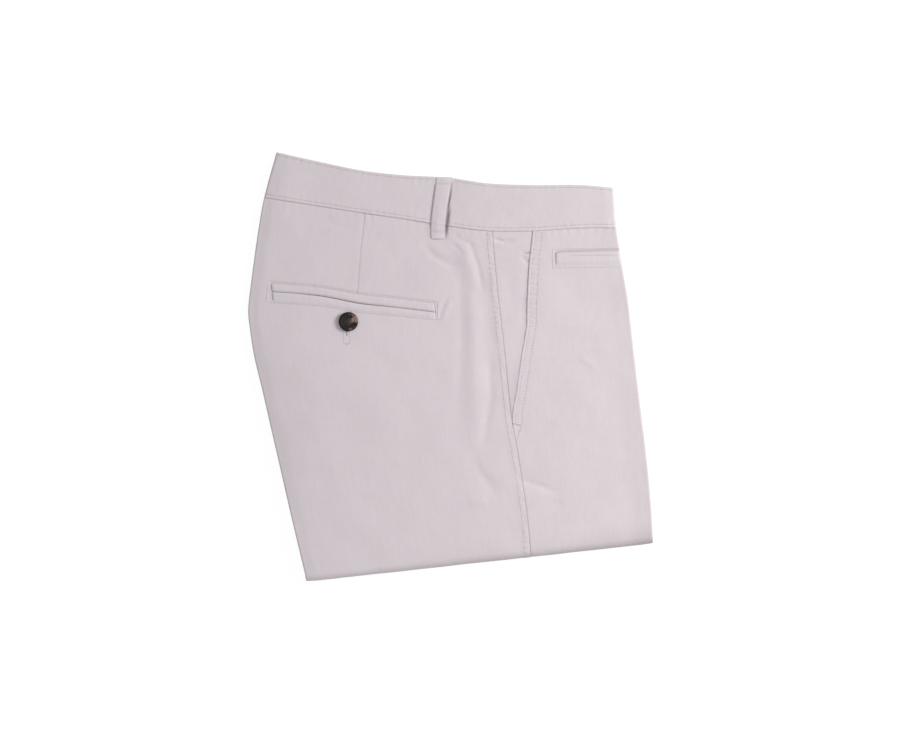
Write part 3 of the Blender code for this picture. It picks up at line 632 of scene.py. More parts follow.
# %% The dart, the back pocket and the hollow beside the belt loop
SIDE_STITCH = 4.8
DART = ((-75.2, 134.0), (-79.0, 100.0), (-81.8, 64.5))
POCKET = {
    "x": (-156.8, -132, -110, -81, -50, -13),
    "opening": (66.0, 64.2, 61.6, 55.9, 52.4, 48.0),
    "upper_width": (7.6, 7.6, 7.8, 8.2, 8.2, 8.0),
    "lower_width": (8.4, 8.2, 7.4, 6.8, 6.2, 5.6),
}
POCKET_START, POCKET_STOP = -157.0, -13.5


def pocket_line(column, x):
    return smooth(POCKET, column, "x", x)


def pocket_window(x, y):
    """1 inside the rectangle that the back pocket's welts fill, 0 outside."""
    rise = y - pocket_line("opening", x)
    upper, lower = pocket_line("upper_width", x), pocket_line("lower_width", x)
    above = 1 - ease(rise, upper - 1.2, upper + 0.2)
    below = 1 - ease(-rise, lower - 2.6, lower - 0.9)
    lean = x + rise * 0.1
    sides = ease(lean, POCKET_START - 0.5, POCKET_START + 0.4)
    sides = sides * (1 - ease(lean, POCKET_STOP - 0.4, POCKET_STOP + 0.5))
    return above * below * sides


# The belt loop's hollow on its right, which also carries its painted shadow, and a painted shadow
# on its left
LOOP_GAP = (
    (1.2, 162.0), (-0.2, 151.5), (-1.9, 142.0), (-3.2, 131.0), (-4.2, 124.0), (-4.6, 113.0))
LOOP_HOLLOW = ((-1.3, 141.0), (-2.6, 131.5), (-3.3, 125.5), (-3.9, 119.5), (-4.4, 113.0))
LOOP_LEFT_PAINTED_SHADE = ((-18.6, 128.0), (-18.9, 120.0), (-18.4, 113.0))


def loop_shadow(x, y):
    """A hollow beside the belt loop, where the loop has pressed into the cloth; the same mask
    gives the painted shadow of the gap under the loop.
    """
    gap = ridge(x, y, LOOP_GAP, 0.8, 0.7, 0.7)
    return np.maximum(gap, ridge(x, y, LOOP_HOLLOW, 1.0, 1.6, 1.6))


def frame_point(x, side, extra):
    """A point on the stitched frame round the back pocket."""
    width = pocket_line("upper_width" if side > 0 else "lower_width", x)
    return x, pocket_line("opening", x) + side * (width + extra)


def pocket_frame(extra, count=14):
    """The frame as a closed line."""
    first, last = POCKET_START - extra, POCKET_STOP + extra
    xs = np.linspace(first, last, count)
    upper = [frame_point(x, 1, extra) for x in xs]
    lower = [frame_point(x, -1, extra) for x in xs[::-1]]
    return [(float(a), float(b)) for a, b in upper + lower + upper[:1]]


POCKET_FRAME = pocket_frame(1.4)
print("pocket frame points:", len(POCKET_FRAME))

# %% [markdown]
# ## Form and shade of the panels
#
# The height of the cloth is a sum: what both panels share, and what is particular to each. A
# second function gives the painted shade that darkens the colour in the same grooves.

# %% What both panels share, and the back panel's own relief and painted shade
def seam_swell(y):
    """Where the side seam stands up a little beside the pocket facing."""
    return ease(y, -5.0, 30.0) * (1 - ease(y, 62.0, 88.0))


def turn_droop(x, run):
    """How much the cloth sinks towards the lower fold, more towards the front."""
    grows = 0.25 + 0.75 * ease(x, -80.0, 10.0)
    return 0.5 * grows * (1 - ease(run, 0.0, 15.0)) * ease(run, -9.0, -1.0)


def turn_shade(x, run):
    """Painted shade at the lower fold, which is darker towards the front."""
    painted_shade_amount = 0.11 * ease(x, -80.0, 10.0) * (1 - ease(run, -5.0, 7.0))
    painted_shade_amount = painted_shade_amount + 0.08 * ease(x, 80.0, 140.0) * (1 - ease(run, 0.0, 14.0))
    return painted_shade_amount * ease(run, -11.0, -6.0)


def panel_relief(x, y, run):
    """What shapes both panels: creases, the lower fold and the waist seam."""
    total = handled(x, y) * ease(run, 4.0, 34.0) * (1 - 0.7 * ease(run, 276.0, 289.0))
    total = total + 0.12 * waves(x, run, 40.0, 3) * (1 - ease(run, 4.0, 34.0))
    total = total - turn_droop(x, run)
    to_waist = WAIST_LEVEL - run
    return total - 0.25 * (1 - ease(to_waist, 0.0, 0.9)) + 0.1 * pucker(to_waist, x, 8.0, 5)


def mark(x, y, points, left, right=None):
    """A line that is as strong at its ends as in its middle, such as a row of stitches."""
    return ridge(x, y, points, 1.0, left, right or left, fade=False)


def back_relief(x, y, run, from_seam):
    """Everything that shapes the back panel: side seam, belt loop, dart and pocket as well."""
    total = panel_relief(x, y, run)
    ledge = 0.16 * (1 - ease(from_seam, SIDE_STITCH - 0.4, SIDE_STITCH + 3.6))
    ledge = ledge + 0.42 * (1 - ease(from_seam, 1.5, 11.5)) * seam_swell(y)
    ditch = -0.22 * (1 - ease(from_seam, 0.0, 0.7))
    sewn = -0.06 * groove(from_seam - SIDE_STITCH)
    sewn = sewn + 0.26 * pucker(from_seam - 2.4, run, 3.0, 4, 5.2)
    total = total + ledge + ditch + sewn - loop_shadow(x, y)
    dart, beside = mark(x, y, DART, 0.55), mark(x + 2.6, y, DART, 1.8, 2.8)
    total = total - 0.12 * dart + 0.05 * beside * (1 + np.sin(y * 1.1))
    total = total - 1.1 * pocket_window(x, y)
    return total - 0.13 * mark(x, y, POCKET_FRAME, 0.8) * (1 + 0.7 * np.sin(x * 1.15 + y))


def back_shade(x, y, run, from_seam):
    """Painted shade in the seams, the dart, the pocket, beside the belt loop and at the lower
    fold, from 0 to 1.
    """
    # the side seam's painted shade is darker over this stretch
    seam_shade_stretch = ease(y, -52.0, -40.0) * (1 - ease(y, -30.0, 6.0))
    painted_shade_amount = (0.36 + 0.4 * seam_shade_stretch) * groove(from_seam, 0.45)
    painted_shade_amount = painted_shade_amount + 0.12 * groove(WAIST_LEVEL - run, 0.5)
    painted_shade_amount = painted_shade_amount + 0.03 * groove(from_seam - SIDE_STITCH, 0.4) + 0.85 * loop_shadow(x, y)
    painted_shade_amount = painted_shade_amount + 0.13 * ridge(x, y, LOOP_LEFT_PAINTED_SHADE, 1.0, 2.6, 2.6) + turn_shade(x, run)
    painted_shade_amount = painted_shade_amount + 0.08 * mark(x, y, POCKET_FRAME, 0.5) + 0.36 * mark(x, y, DART, 0.4)
    return painted_shade_amount + 0.8 * pocket_window(x, y) ** 2


bare, sewn = back_relief(np.array([-100.0, -79.0]), 100.0, 240.0, 120.0)
print("relief beside the dart and in it:", round(bare, 2), round(sewn, 2), "mm")

# %% [markdown]
# ## Back panel
#
# The largest piece: it runs from the waist over the seat, round the lower fold and back
# underneath to the hem. At the back fold it rolls over and hooks inwards, and at the side seam
# it ends in a stitched step.

# %% Make the back panel
NEAR_FOLD = np.array([2.2, 3.0, 4.2, 5.6, 7.2, 9.0])
NEAR_SEAM = np.array(
    [9.0, 7.4, 6.4, 5.6, 5.2, 4.8, 4.4, 4.0, 3.0, 2.0, 1.2, 0.7, 0.35, 0.12, 0.0])


def panel_grid(rows, fold_x, seam_x, near_fold, middle, near_seam, relief, ply_at, hook, droop):
    """Outer and inner grids of a panel, its flat cloth, and the places of its points."""
    inwards = 1.0 if seam_x[0] > fold_x[0] else -1.0
    width = np.abs(seam_x - fold_x)[:, None]
    run = run_of(rows)[:, None]
    out, inn, out_depth, in_depth = rolled_columns(hook, ROLL / 2, CLOTH_PLY)
    lead, ends = len(out), len(near_fold) + len(near_seam)
    middle += -(lead + ends + middle - 1) % INNER_STEP
    shares = np.linspace(0, 1, middle + 2)[None, 1:-1]
    ones = np.ones_like(run)
    inside = near_fold[-1] + (width - near_seam[0] - near_fold[-1]) * shares
    flat_part = np.concatenate([ones * near_fold, inside, width - near_seam], axis=1)
    from_fold = np.concatenate([ones * out, flat_part], axis=1)
    from_fold_inside = np.concatenate([ones * inn, flat_part], axis=1)
    x, x_inside = (fold_x[:, None] + inwards * part for part in (from_fold, from_fold_inside))
    depth = ones * np.concatenate([out_depth, np.zeros(flat_part.shape[1])])
    in_hook = np.arange(depth.shape[1]) < lead
    thin = ply_at(run, width - from_fold)
    depth_inside = np.where(in_hook, ones * np.pad(in_depth, (0, depth.shape[1] - lead)), thin)
    y = level_y(np.maximum(run, 0.0), x)
    lift = relief(x, y, run, width - from_fold) - side_droop(from_fold, droop)
    lift = lift * np.clip(1 - depth / ROLL, 0.0, 1.0)
    lift = lift * ease(run, -20.0, -10.5)
    lift[parts_of(rows)[2]] = 0.0
    outer, inner = place(rows, x, depth - lift), place(rows, x_inside, depth_inside - lift)
    rim = np.concatenate([[0.0], np.cumsum(np.hypot(np.diff(out), np.diff(out_depth)))])
    across = np.concatenate([ones * rim, rim[-1] + flat_part - out[-1]], axis=1)
    flat = np.stack([inwards * across, run + 0.0 * across], -1)
    return outer, inner, flat, x, y, run, width - from_fold


def hem_ply(run, from_seam):
    """One ply, and more over the hem that is folded up inside."""
    hem_start = HEM_LEVEL - HEM_DEPTH
    return CLOTH_PLY + 0.8 * ease(-run - math.pi * HALF_STACK, hem_start - 1.0, hem_start)


# Columns are close together at the dart and at both ends of the pocket
BACK_COLUMNS = np.concatenate([NEAR_FOLD] + [np.arange(*part) for part in (
    (10.6, 17.0, 1.6), (17.4, 21.6, 0.5), (22.0, 89.0, 1.9), (89.2, 98.0, 0.55),
    (98.8, 160.0, 2.0), (160.2, 168.2, 0.5))])
SEAM_GAP = 0.04
back_fold_x = line_x(FINE_ROWS, "back_fold")
back_seam_x = line_x(FINE_ROWS, "side_seam") - SEAM_GAP
BACK_DROOP = (0.75 - 0.35 * (1 - ease(run_of(FINE_ROWS), 120.0, 240.0)))[:, None]
*grids, gx, gy, grun, gseam = panel_grid(
    FINE_ROWS, back_fold_x, back_seam_x, BACK_COLUMNS, 22, NEAR_SEAM, back_relief, hem_ply, 15.0,
    BACK_DROOP)
back_surface = grids[0]
back_rungs = ease(gseam, 0.5, 1.5) * (1 - ease(gseam, 3.8, 4.9))
back_rungs = back_rungs * (0.6 + 0.4 * waves(grun, 0, 50.0, 61, 5))
back_panel = shell(
    "back_panel_cloth", *grids, back_shade(gx, gy, grun, gseam), back_rungs)
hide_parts("back_panel_right")
print("back panel faces:", len(back_panel.data.polygons))

# %% [markdown]
# ## Front panel
#
# The front begins at the slanted pocket mouth, where its cloth is folded back inside and held
# by two rows of stitches. The cloth lies over the pocket facing there, so it stands a little
# higher. Below the pocket its edge becomes the side seam.

# %% Make the front panel
MOUTH_STITCHES = (2.7, 8.5)
FRONT_DROOP = 0.3
COIN_MOUTH = ((92.4, 100.4), (97.0, 101.3), (120.0, 102.2), (150.0, 103.2))
NEAR_MOUTH = np.array(
    [12.0, 10.4, 9.4, 8.9, 8.5, 8.1, 7.4, 6.2, 5.0, 4.0, 3.3, 2.7, 2.1, 1.5, 1.0, 0.6, 0.3,
     0.1, 0.0])


def pocket_lift(x, level):
    """How far the front stands up to clear the facing beneath its mouth."""
    from_mouth = x - edge_x("pocket_mouth", level)
    step = 0.05 * ease(level, 92.0, POCKET_END) + 0.09 * ease(level, 140.0, 180.0)
    step = step + 0.28 * ease(level, 180.0, 225.0)
    return step * (1 - ease(from_mouth, 9.5, 34.0))


def front_start(rows):
    """The x where the front begins: the pocket mouth above, and the side seam below."""
    seam = line_x(rows, "side_seam")
    top = parts_of(rows)[0]
    mouth = edge_x("pocket_mouth", rows[0])
    seam[top] = np.where(rows[0] >= POCKET_END, mouth, seam[top])
    return seam + SEAM_GAP


def front_relief(x, y, run, from_mouth):
    total = panel_relief(x, y, run)
    mouth = ease(run, 92.0, POCKET_END)
    sewn = sum(groove(from_mouth - row) for row in MOUTH_STITCHES)
    sewn = -0.07 * sewn + 0.36 * pucker(from_mouth - 5.6, run, 2.8, 6, 4.6)
    edge = -0.12 * (1 - ease(from_mouth, 0.0, 0.8)) + 0.2 * groove(from_mouth - 0.9, 1.5)
    total = total + mouth * (sewn + edge + 0.15 * pucker(from_mouth, run, 9.0, 7, 11.0))
    total = total - 0.2 * (1 - mouth) * (1 - ease(from_mouth, 0.0, 0.8))
    total = total - 0.32 * mark(x, y, COIN_MOUTH, 1.0)
    return total + pocket_lift(x, np.maximum(run, 0.0)) * (run > 0)


# painted shade on the front: seams, the coin pocket's opening, the lower fold, and darker towards
# the front fold
def front_shade(x, y, run, from_mouth):
    below = 1 - ease(run, 92.0, POCKET_END)
    rows = sum(groove(from_mouth - row, 0.35) for row in MOUTH_STITCHES)
    painted_shade_amount = 0.16 * below * groove(from_mouth, 0.4) + 0.12 * groove(WAIST_LEVEL - run, 0.5)
    painted_shade_amount = painted_shade_amount + 0.36 * mark(x, y, COIN_MOUTH, 0.6)
    side = 1 - ease(edge_x("front_fold", run) - x, 2.0, 26.0)
    painted_shade_amount = painted_shade_amount + turn_shade(x, run) + (0.14 - 0.09 * ease(y, 60.0, 92.0)) * side
    return painted_shade_amount + 0.02 * (1 - below) * rows


def front_ply(run, from_mouth):
    """The mouth's edge is folded back, so it is two plies thick for a few millimetres."""
    mouth = ease(run, 92.0, POCKET_END)
    folded = 0.05 * (1 - ease(from_mouth, 9.4, 10.4)) - 0.34 * (1 - ease(from_mouth, 0.0, 1.6))
    return hem_ply(run, from_mouth) + mouth * folded


front_fold_x = line_x(FINE_ROWS, "front_fold")
*grids, fx, fy, frun, fmouth = panel_grid(
    FINE_ROWS, front_fold_x, front_start(FINE_ROWS), NEAR_FOLD, 58, NEAR_MOUTH, front_relief,
    front_ply, 15.0, FRONT_DROOP)
front_surface = grids[0]
front_rungs = ease(fmouth, 2.9, 4.0) * (1 - ease(fmouth, 7.2, 8.6)) * ease(frun, 92.0, POCKET_END)
front_panel = shell(
    "front_panel_cloth", *grids, front_shade(fx, fy, frun, fmouth), front_rungs)
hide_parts("front_panel_right")
print("front panel faces:", len(front_panel.data.polygons))

# %% [markdown]
# ## Pocket facing
#
# A wedge of the same twill shows between the side seam and the pocket mouth, and runs on under
# the front. Near the waist it is eased into the seams, so it puckers.

# %% Make the facing
FACING_PUCKERS = (
    (((37, 112.6), (46.6, 110.0), (56, 111.6)), -0.9, 1.6, 1.8),
    (((41, 107.4), (52, 107.0)), 0.3, 2.2, 2.2),
    (((61, 100.2), (70.5, 100.9)), -0.6, 1.0, 1.3),
    (((62.5, 96.6), (69, 91.0)), -0.6, 2.2, 2.0),
    (((58, 96), (60, 60), (57, 20)), 0.25, 6.0, 6.0),
)


def facing_relief(x, y, run, from_seam, from_mouth):
    total = handled(x, y) * (1 - 0.7 * ease(run, 276.0, 289.0))
    shown = ease(-from_mouth, -1.0, 3.0)
    total = total + shown * sum(ridge(x, y, *row) for row in FACING_PUCKERS)
    total = total - 0.15 * (1 - ease(from_seam, 0.0, 0.8)) + 0.1 * pucker(from_seam, run, 7.0, 8)
    total = total + 0.4 * (1 - ease(from_seam, 0.0, 16.0)) * seam_swell(y)
    total = total - 0.25 * (1 - ease(WAIST_LEVEL - run, 0.0, 0.9))
    return total - 0.13 * ease(from_mouth, -3.0, 0.0) - 0.4 * ease(from_mouth, 0.0, 2.0)


# the shadow of the front's edge on the facing is painted shade
GLOOM = {  # the shade that the front's edge throws on the facing, and how far it reaches
    "y": (-60, -20, 14, 36, 58, 78, 96, 120),
    "painted_shade_amount": (0.12, 0.18, 0.11, 0.2, 0.26, 0.2, 0.06, 0.0),
    "reach": (3.0, 4.4, 3.2, 3.0, 3.1, 2.2, 1.5, 1.5),
}
facing_rows = FINE_TOP[FINE_TOP >= POCKET_END][:, None]
facing_seam = edge_x("side_seam", facing_rows) + SEAM_GAP
facing_mouth = edge_x("pocket_mouth", facing_rows)
shares = np.concatenate([[0, 0.006, 0.014, 0.03, 0.05, 0.08], np.linspace(0.12, 0.94, 30), [0.97]])
facing_x = facing_seam + (facing_mouth - facing_seam) * shares
facing_x = np.concatenate([facing_x, facing_mouth + np.array([0.0, 2.0, 5.0, 8.0])], axis=1)
facing_y = level_y(facing_rows, facing_x)
facing_lift = facing_relief(
    facing_x, facing_y, facing_rows, facing_x - facing_seam, facing_x - facing_mouth)
facing_z = height(facing_x, facing_rows) + facing_lift
outer = np.stack([facing_x, facing_y, facing_z], -1)
inner = np.stack([facing_x, facing_y, facing_z - CLOTH_PLY], -1)
flat = np.stack([facing_x - facing_seam, facing_rows + 0.0 * facing_x], -1)
# painted shade: in the seams, the painted shadow of the front's edge, and under the front
painted_dark = 0.1 * groove(facing_x - facing_seam, 0.5) + 0.1 * groove(WAIST_LEVEL - facing_rows, 0.5)
mouth_gloom = smooth(GLOOM, "painted_shade_amount", "y", facing_y)
mouth_reach = smooth(GLOOM, "reach", "y", facing_y)
painted_dark = painted_dark + mouth_gloom * groove(facing_x - facing_mouth, mouth_reach)
painted_dark = painted_dark + 0.07 * ease(facing_x - facing_mouth, -0.3, 1.2)
facing = shell("pocket_facing_cloth", outer, inner, flat, painted_dark)
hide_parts("pocket_facing_right")
print("facing columns:", facing_x.shape[1])

# %% [markdown]
# ## Waistband
#
# A waistband is two plies of twill with a stiffener between them, turned in along the top. Laid
# flat it keeps a clean rounded edge. The near half and the far half are the same strip folded
# at the back and tucked in at the front, so they show as two thick layers at the side.

# %% Make both halves of the waistband
BAND_LOW = np.array(
    [0.0, 0.12, 0.35, 0.7, 1.2, 2.0, 2.5, 2.8, 3.1, 3.4, 3.7, 4.2, 5.0, 6.2, 8.0])
BAND_HIGH = np.array([8.0, 6.2, 5.0, 4.0, 3.4, 3.0, 2.7, 2.4, 2.1, 1.6, 1.2])
BAND_CREASES = (
    (((103.8, 136.8), (122, 139), (139, 142.1)), -0.28, 2.6, 2.0),
    (((60, 146), (90, 150), (118, 149)), 0.2, 6.0, 6.0),
    (((-130, 160), (-100, 158), (-70, 152)), 0.2, 7.0, 6.0),
    (((20, 136), (34, 146)), -0.16, 4.0, 4.0),
    (((-60, 150), (-40, 146)), -0.14, 4.0, 4.0),
)


def band_rows():
    """Distances up from the seam, down from the top edge, and how far the edge has thinned."""
    low = [(v, 0.0, 0.0) for v in BAND_LOW]
    middle = [(8.0, share, 0.0) for share in np.linspace(0, 1, 26)[1:-1]]
    high = [(-v, 1.0, 0.0) for v in BAND_HIGH]
    turns = np.radians([15, 30, 45, 60, 74, 86])
    top = [(-0.95 + 0.95 * math.sin(a), 1.0, 0.95 * (1 - math.cos(a))) for a in turns]
    return low + middle + high + top


def band_section(left, right, thin, count):
    """One row of the strip, from its tuck at the back to its tuck at the front."""
    outer, inner = BAND_PLY + BAND_GAP / 2, BAND_GAP / 2
    full, far = 2 * BAND_PLY + BAND_GAP, BAND_PLY + BAND_GAP
    turns = np.radians(np.linspace(-90, 90, 11))
    near = np.array([left + BACK_TUCK, left + 6.0, left + outer + 1.0])
    bend_out = (outer - thin) * np.cos(turns)
    bend_in = (inner + thin) * np.cos(turns)
    deep_out, deep_in = (outer - thin) * np.sin(turns), (inner + thin) * np.sin(turns)
    first = count // 2 if count > 100 else 0
    beside_loop = np.arange(-6.2, 3.8, 0.5) if first else np.array([])
    after = count - first - len(beside_loop)
    flat = np.concatenate([
        np.linspace(left + outer + 1.0, -6.9, first), beside_loop,
        np.linspace(4.4 if first else left + outer + 1.0, right - outer - 1.0, after)])
    tuck = right - outer - (FRONT_TUCK - outer) * np.array([0.02] + [n / 10 for n in range(1, 11)])
    x_out = np.concatenate([near, left + outer - bend_out, flat,
                            (right - outer + bend_out)[::-1], tuck])
    x_in = np.concatenate([near, left + outer - bend_in, flat,
                           (right - outer + bend_in)[::-1], tuck])
    out = np.concatenate([np.full(3, full - thin), outer - deep_out, np.full(count, thin),
                          (outer - deep_out)[::-1], np.full(len(tuck), full - thin)])
    inn = np.concatenate([np.full(3, far + thin), outer - deep_in,
                          np.full(count, BAND_PLY - thin), (outer - deep_in)[::-1],
                          np.full(len(tuck), far + thin)])
    return x_out, x_in, out, inn


def band_relief(x, y, up, down):
    total = -0.09 * groove(up - 3.1) - 0.08 * groove(down - 2.4) - loop_shadow(x, y)
    total = total - 0.4 * (1 - ease(up, 0.0, 0.8)) + 0.12 * pucker(up - 2.5, x, 5.0, 9, 6.0)
    total = total + 0.12 * pucker(down - 2.5, x, 4.5, 10, 6.5)
    total = total + sum(ridge(x, y, *row) for row in BAND_CREASES)
    return total + 0.10 * waves(x, y, 45.0, 11) + 0.03 * waves(x, y, 12.0, 12)


def band(name, upper, inset, count, rows):
    """The upper half lies on top with its relief, the lower half lies beneath it and is plain."""
    outer, inner, flat, shade = [], [], [], []
    for low, share, thin in rows:
        def y_of(x):
            seam, top = waist_seam(x) + 0.05, waist_top(x)
            bottom = seam + min(low, 8.0) if low >= 0 else top + low
            return bottom + (top - 16.0 - seam) * share if low >= 0 else bottom
        left = right = 0.0
        for _ in range(10):
            left = float(smooth(OUTLINE, "back_fold", "y", y_of(left))) + inset
            right = float(smooth(OUTLINE, "front_fold", "y", y_of(right))) - inset
        x_out, x_in, out, inn = band_section(left, right, thin, count)
        y = y_of(x_out)
        up, down = y - waist_seam(x_out), waist_top(x_out) - y
        facing_up = np.clip(1 - out / (2 * BAND_PLY), 0.0, 1.0)
        droop = 0.7 * (1 - ease(x_out - left, 0.5, 13.0))
        droop = droop + 0.5 * (1 - ease(right - x_out, 0.5, 9.0))
        lift = (band_relief(x_out, y, up, down) - droop) * facing_up if upper else 0.0 * x_out
        surface = band_top(x_out)
        for x, depth, side in ((x_out, out, outer), (x_in, inn, inner)):
            z = surface - depth + lift if upper else depth
            sunk = 0.7 if side is inner and low < 0 else 0.0
            side.append(np.stack([x, y_of(x) - sunk, z], -1))
        run = np.concatenate([[0.0], np.cumsum(np.hypot(np.diff(x_out), np.diff(out)))])
        flat.append(np.stack([run, y + 400.0], -1))
        # painted shade at the stitch rows, the seam and beside the belt loop
        band_painted_shade = 0.05 * (groove(up - 3.1, 0.4) + groove(down - 2.4, 0.4))
        band_painted_shade = band_painted_shade + 0.16 * groove(up, 0.4) + 0.85 * loop_shadow(x_out, y)
        shade.append(band_painted_shade if upper else 0.0 * x_out)
    grids = [np.array(part) for part in (outer, inner, flat, shade)]
    return shell(name, *grids), grids[0]


# The near hook, both bends and the tuck take 36 columns, so 4n + 1 in all needs 4n + 1 here
BAND_COLUMNS = 189
right_band, band_surface = band("waistband_right_cloth", True, 0.0, BAND_COLUMNS, band_rows())
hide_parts("waistband_right")
plain_rows = band_rows()[::2] + band_rows()[-1:]
left_band, _ = band("waistband_left_cloth", False, 0.8, 61, plain_rows)
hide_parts("waistband_left")
print("band faces:", len(right_band.data.polygons), len(left_band.data.polygons))

# %% [markdown]
# ## The left leg and the inner plies
#
# The left leg lies under the right one, so it shows only as rounded layers along the edges. It
# is a flattened tube that follows the same fold. The right leg's inner ply closes its own tube
# between the hooks of the two panels. Their middles are hidden, so they are coarse there.

# %% Make the hidden layers
LEG_INSET = 0.7


def leg_ring_x(left, right, count):
    """Distances round a flattened tube: back bead, top, front bead, bottom."""
    radius = ROLL / 2
    turns = np.radians(np.linspace(-75, 75, 9))
    edge = np.array([1.8, 3.0, 5.0, 8.0, 12.0])
    shares = np.linspace(0, 1, count + 2)[1:-1]
    top = np.concatenate([left + edge, left + 12 + (right - left - 24) * shares,
                          right - edge[::-1]])
    back = left + radius - radius * np.cos(turns)
    front = (right - radius + radius * np.cos(turns))[::-1]
    back_side, front_side = np.sin(turns), np.sin(turns)[::-1]
    x = np.concatenate([back, top, front, top[::-1]])
    side = np.concatenate([back_side, np.ones(len(top)), front_side, -np.ones(len(top))])
    return x, side


def left_leg():
    """The tube lies between the right leg's own layers, with a gap on each side."""
    level = PLAIN_ROWS[0][:, None]
    top = parts_of(PLAIN_ROWS)[0]
    run = run_of(PLAIN_ROWS)
    left = line_x(PLAIN_ROWS, "back_fold") + LEG_INSET
    right = line_x(PLAIN_ROWS, "front_fold") - LEG_INSET
    wobble = 0.35 * waves(run, 0.0, 40.0, 20, 6), 0.35 * waves(run, 0.0, 33.0, 21, 6)
    grids = []
    for ply in (0.0, CLOTH_PLY):
        ring = [leg_ring_x(l + ply + abs(w0), r - ply - abs(w1), 14)
                for l, r, w0, w1 in zip(left, right, *wobble)]
        x, side = (np.array(part) for part in zip(*ring))
        stack = height(x[top], level)
        z_top = stack - ROLL - GAP
        covered = ease(level, 0.0, 6.0) * cover_at(x[top], level) + (1 - ease(level, 0.0, 6.0))
        z_bottom = (HALF_STACK + GAP) * covered * (1 - ease(level, WAIST_LEVEL - 60, WAIST_LEVEL))
        middle, half = (z_top + z_bottom) / 2, (z_top - z_bottom) / 2 - ply
        depth = HALF_STACK - GAP - ROLL / 2 - (ROLL / 2 - ply) * side
        depth[top] = stack - middle - half * side[top]
        grids.append(place(PLAIN_ROWS, x, depth))
    widths = np.abs(np.diff(grids[0][..., 0], axis=1))
    across = np.concatenate([np.zeros((len(run), 1)), np.cumsum(widths, axis=1)], axis=1)
    flat = np.stack([across, run[:, None] + 0 * across], -1)
    return tube("left_leg_cloth", *grids, flat, inner_twill_shaded, "twill_inside")


left_leg_cloth = left_leg()
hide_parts("folded_layers")

inner_run = run_of(PLAIN_ROWS)[:, None]
inner_from = line_x(PLAIN_ROWS, "back_fold")[:, None] + 6.0
inner_to = line_x(PLAIN_ROWS, "front_fold")[:, None] - 6.0
inner_x = inner_from + (inner_to - inner_from) * np.linspace(0, 1, 25)[None, :]
faces_out, faces_in = (
    place(PLAIN_ROWS, inner_x, np.full(inner_x.shape, depth)) for depth in (2.2, 2.2 - 0.5))
flat = np.stack([inner_x, inner_run + 0.0 * inner_x], -1)
inner_ply = shell("right_leg_inner_cloth", faces_out, faces_in, flat, finish=inner_twill_shaded,
                  slot="twill_inside")
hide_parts("folded_layers")
print("hidden faces:", len(left_leg_cloth.data.polygons), len(inner_ply.data.polygons))

# %% [markdown]
# ## Welts of the back pocket
#
# The back pocket is a slit bound by two narrow folded strips, the welts. Each is softly
# rounded: it dips to the slit, swells in its middle and dips again to the seam that joins it to
# the panel. They lie flush, so the panel is sunk beneath them.

# %% Make the welts
def ground(x, y):
    """Top of the panels or of the waistband, without creases."""
    level = level_at(x, y)
    panel = height(x, np.minimum(level, WAIST_LEVEL))
    share = ease(y - waist_seam(x), -1.5, 1.5)
    return panel + (band_top(x) - panel) * share


def panel_top(x, y):
    """Height of the back panel's cloth in the pocket's area."""
    return ground(x, y) + handled(x, y)


def welt(name, column, side, node):
    """Side is 1 for the upper welt and -1 for the lower one."""
    count, wide = 121, 17
    share = np.linspace(0, 1, count)[:, None]
    x0 = POCKET_START - 0.1 + (POCKET_STOP - POCKET_START + 0.2) * share
    width = pocket_line(column, x0) - (0.3 if side > 0 else 0.1)
    across = (1 - np.cos(np.linspace(0, math.pi, wide)))[None, :] / 2
    gap = 0.1 + 0.24 * np.exp(-(((x0 + 92) / 34) ** 2)) + 0.04 * waves(x0, 0.0, 26.0, 31, 6)
    rise = gap + (width - gap) * across
    y = pocket_line("opening", x0) + side * rise
    x = x0 - side * rise * 0.1
    length = POCKET_STOP - POCKET_START
    ends = ease(share * length, 0.0, 1.3) * ease((1 - share) * length, 0.0, 6.5)
    edge_in = ease(rise - gap, 0.0, 1.5)
    edge_out = ease(width - rise, 0.0, 1.0)
    swell = 0.68 * edge_in * (0.78 + 0.22 * ends) - 0.5
    swell = swell - (0.4 if side > 0 else 0.16) * (1 - edge_out)
    swell = swell + 0.16 * np.sin(math.pi * across) * ends
    swell = swell + 0.07 * pucker(rise - width, x, 3.0, 32 + side, 5.0)
    z = panel_top(x, y) + swell
    outer = np.stack([x, y, z], -1)
    inner = np.stack([x, y, np.minimum(z - 0.35, panel_top(x, y) - 1.0)], -1)
    flat = np.stack([x0 + 0 * rise, y + 800], -1)
    # painted shade at the slit, at the upper welt's seam and at the left end
    painted_dark = 0.2 * groove(rise - gap, 0.4) + (0.1 if side > 0 else 0.0) * groove(width - rise, 0.3)
    painted_dark = painted_dark + 0.22 * groove(x0 - POCKET_START - 0.7, 0.45)
    piece = shell(name, outer, inner, flat, painted_dark)
    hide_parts(node)
    return piece


upper_welt = welt("back_welt_upper_cloth", "upper_width", 1, "back_pocket_welt_upper")
lower_welt = welt("back_welt_lower_cloth", "lower_width", -1, "back_pocket_welt_lower")
print("welt faces:", len(upper_welt.data.polygons))

# %% [markdown]
# ## Coin pocket welt
#
# A small welt crosses the front near the waist and is cut off by the front fold. Its upper edge
# is the pocket's opening, so it stands free there, and a thin painted shadow runs along it.

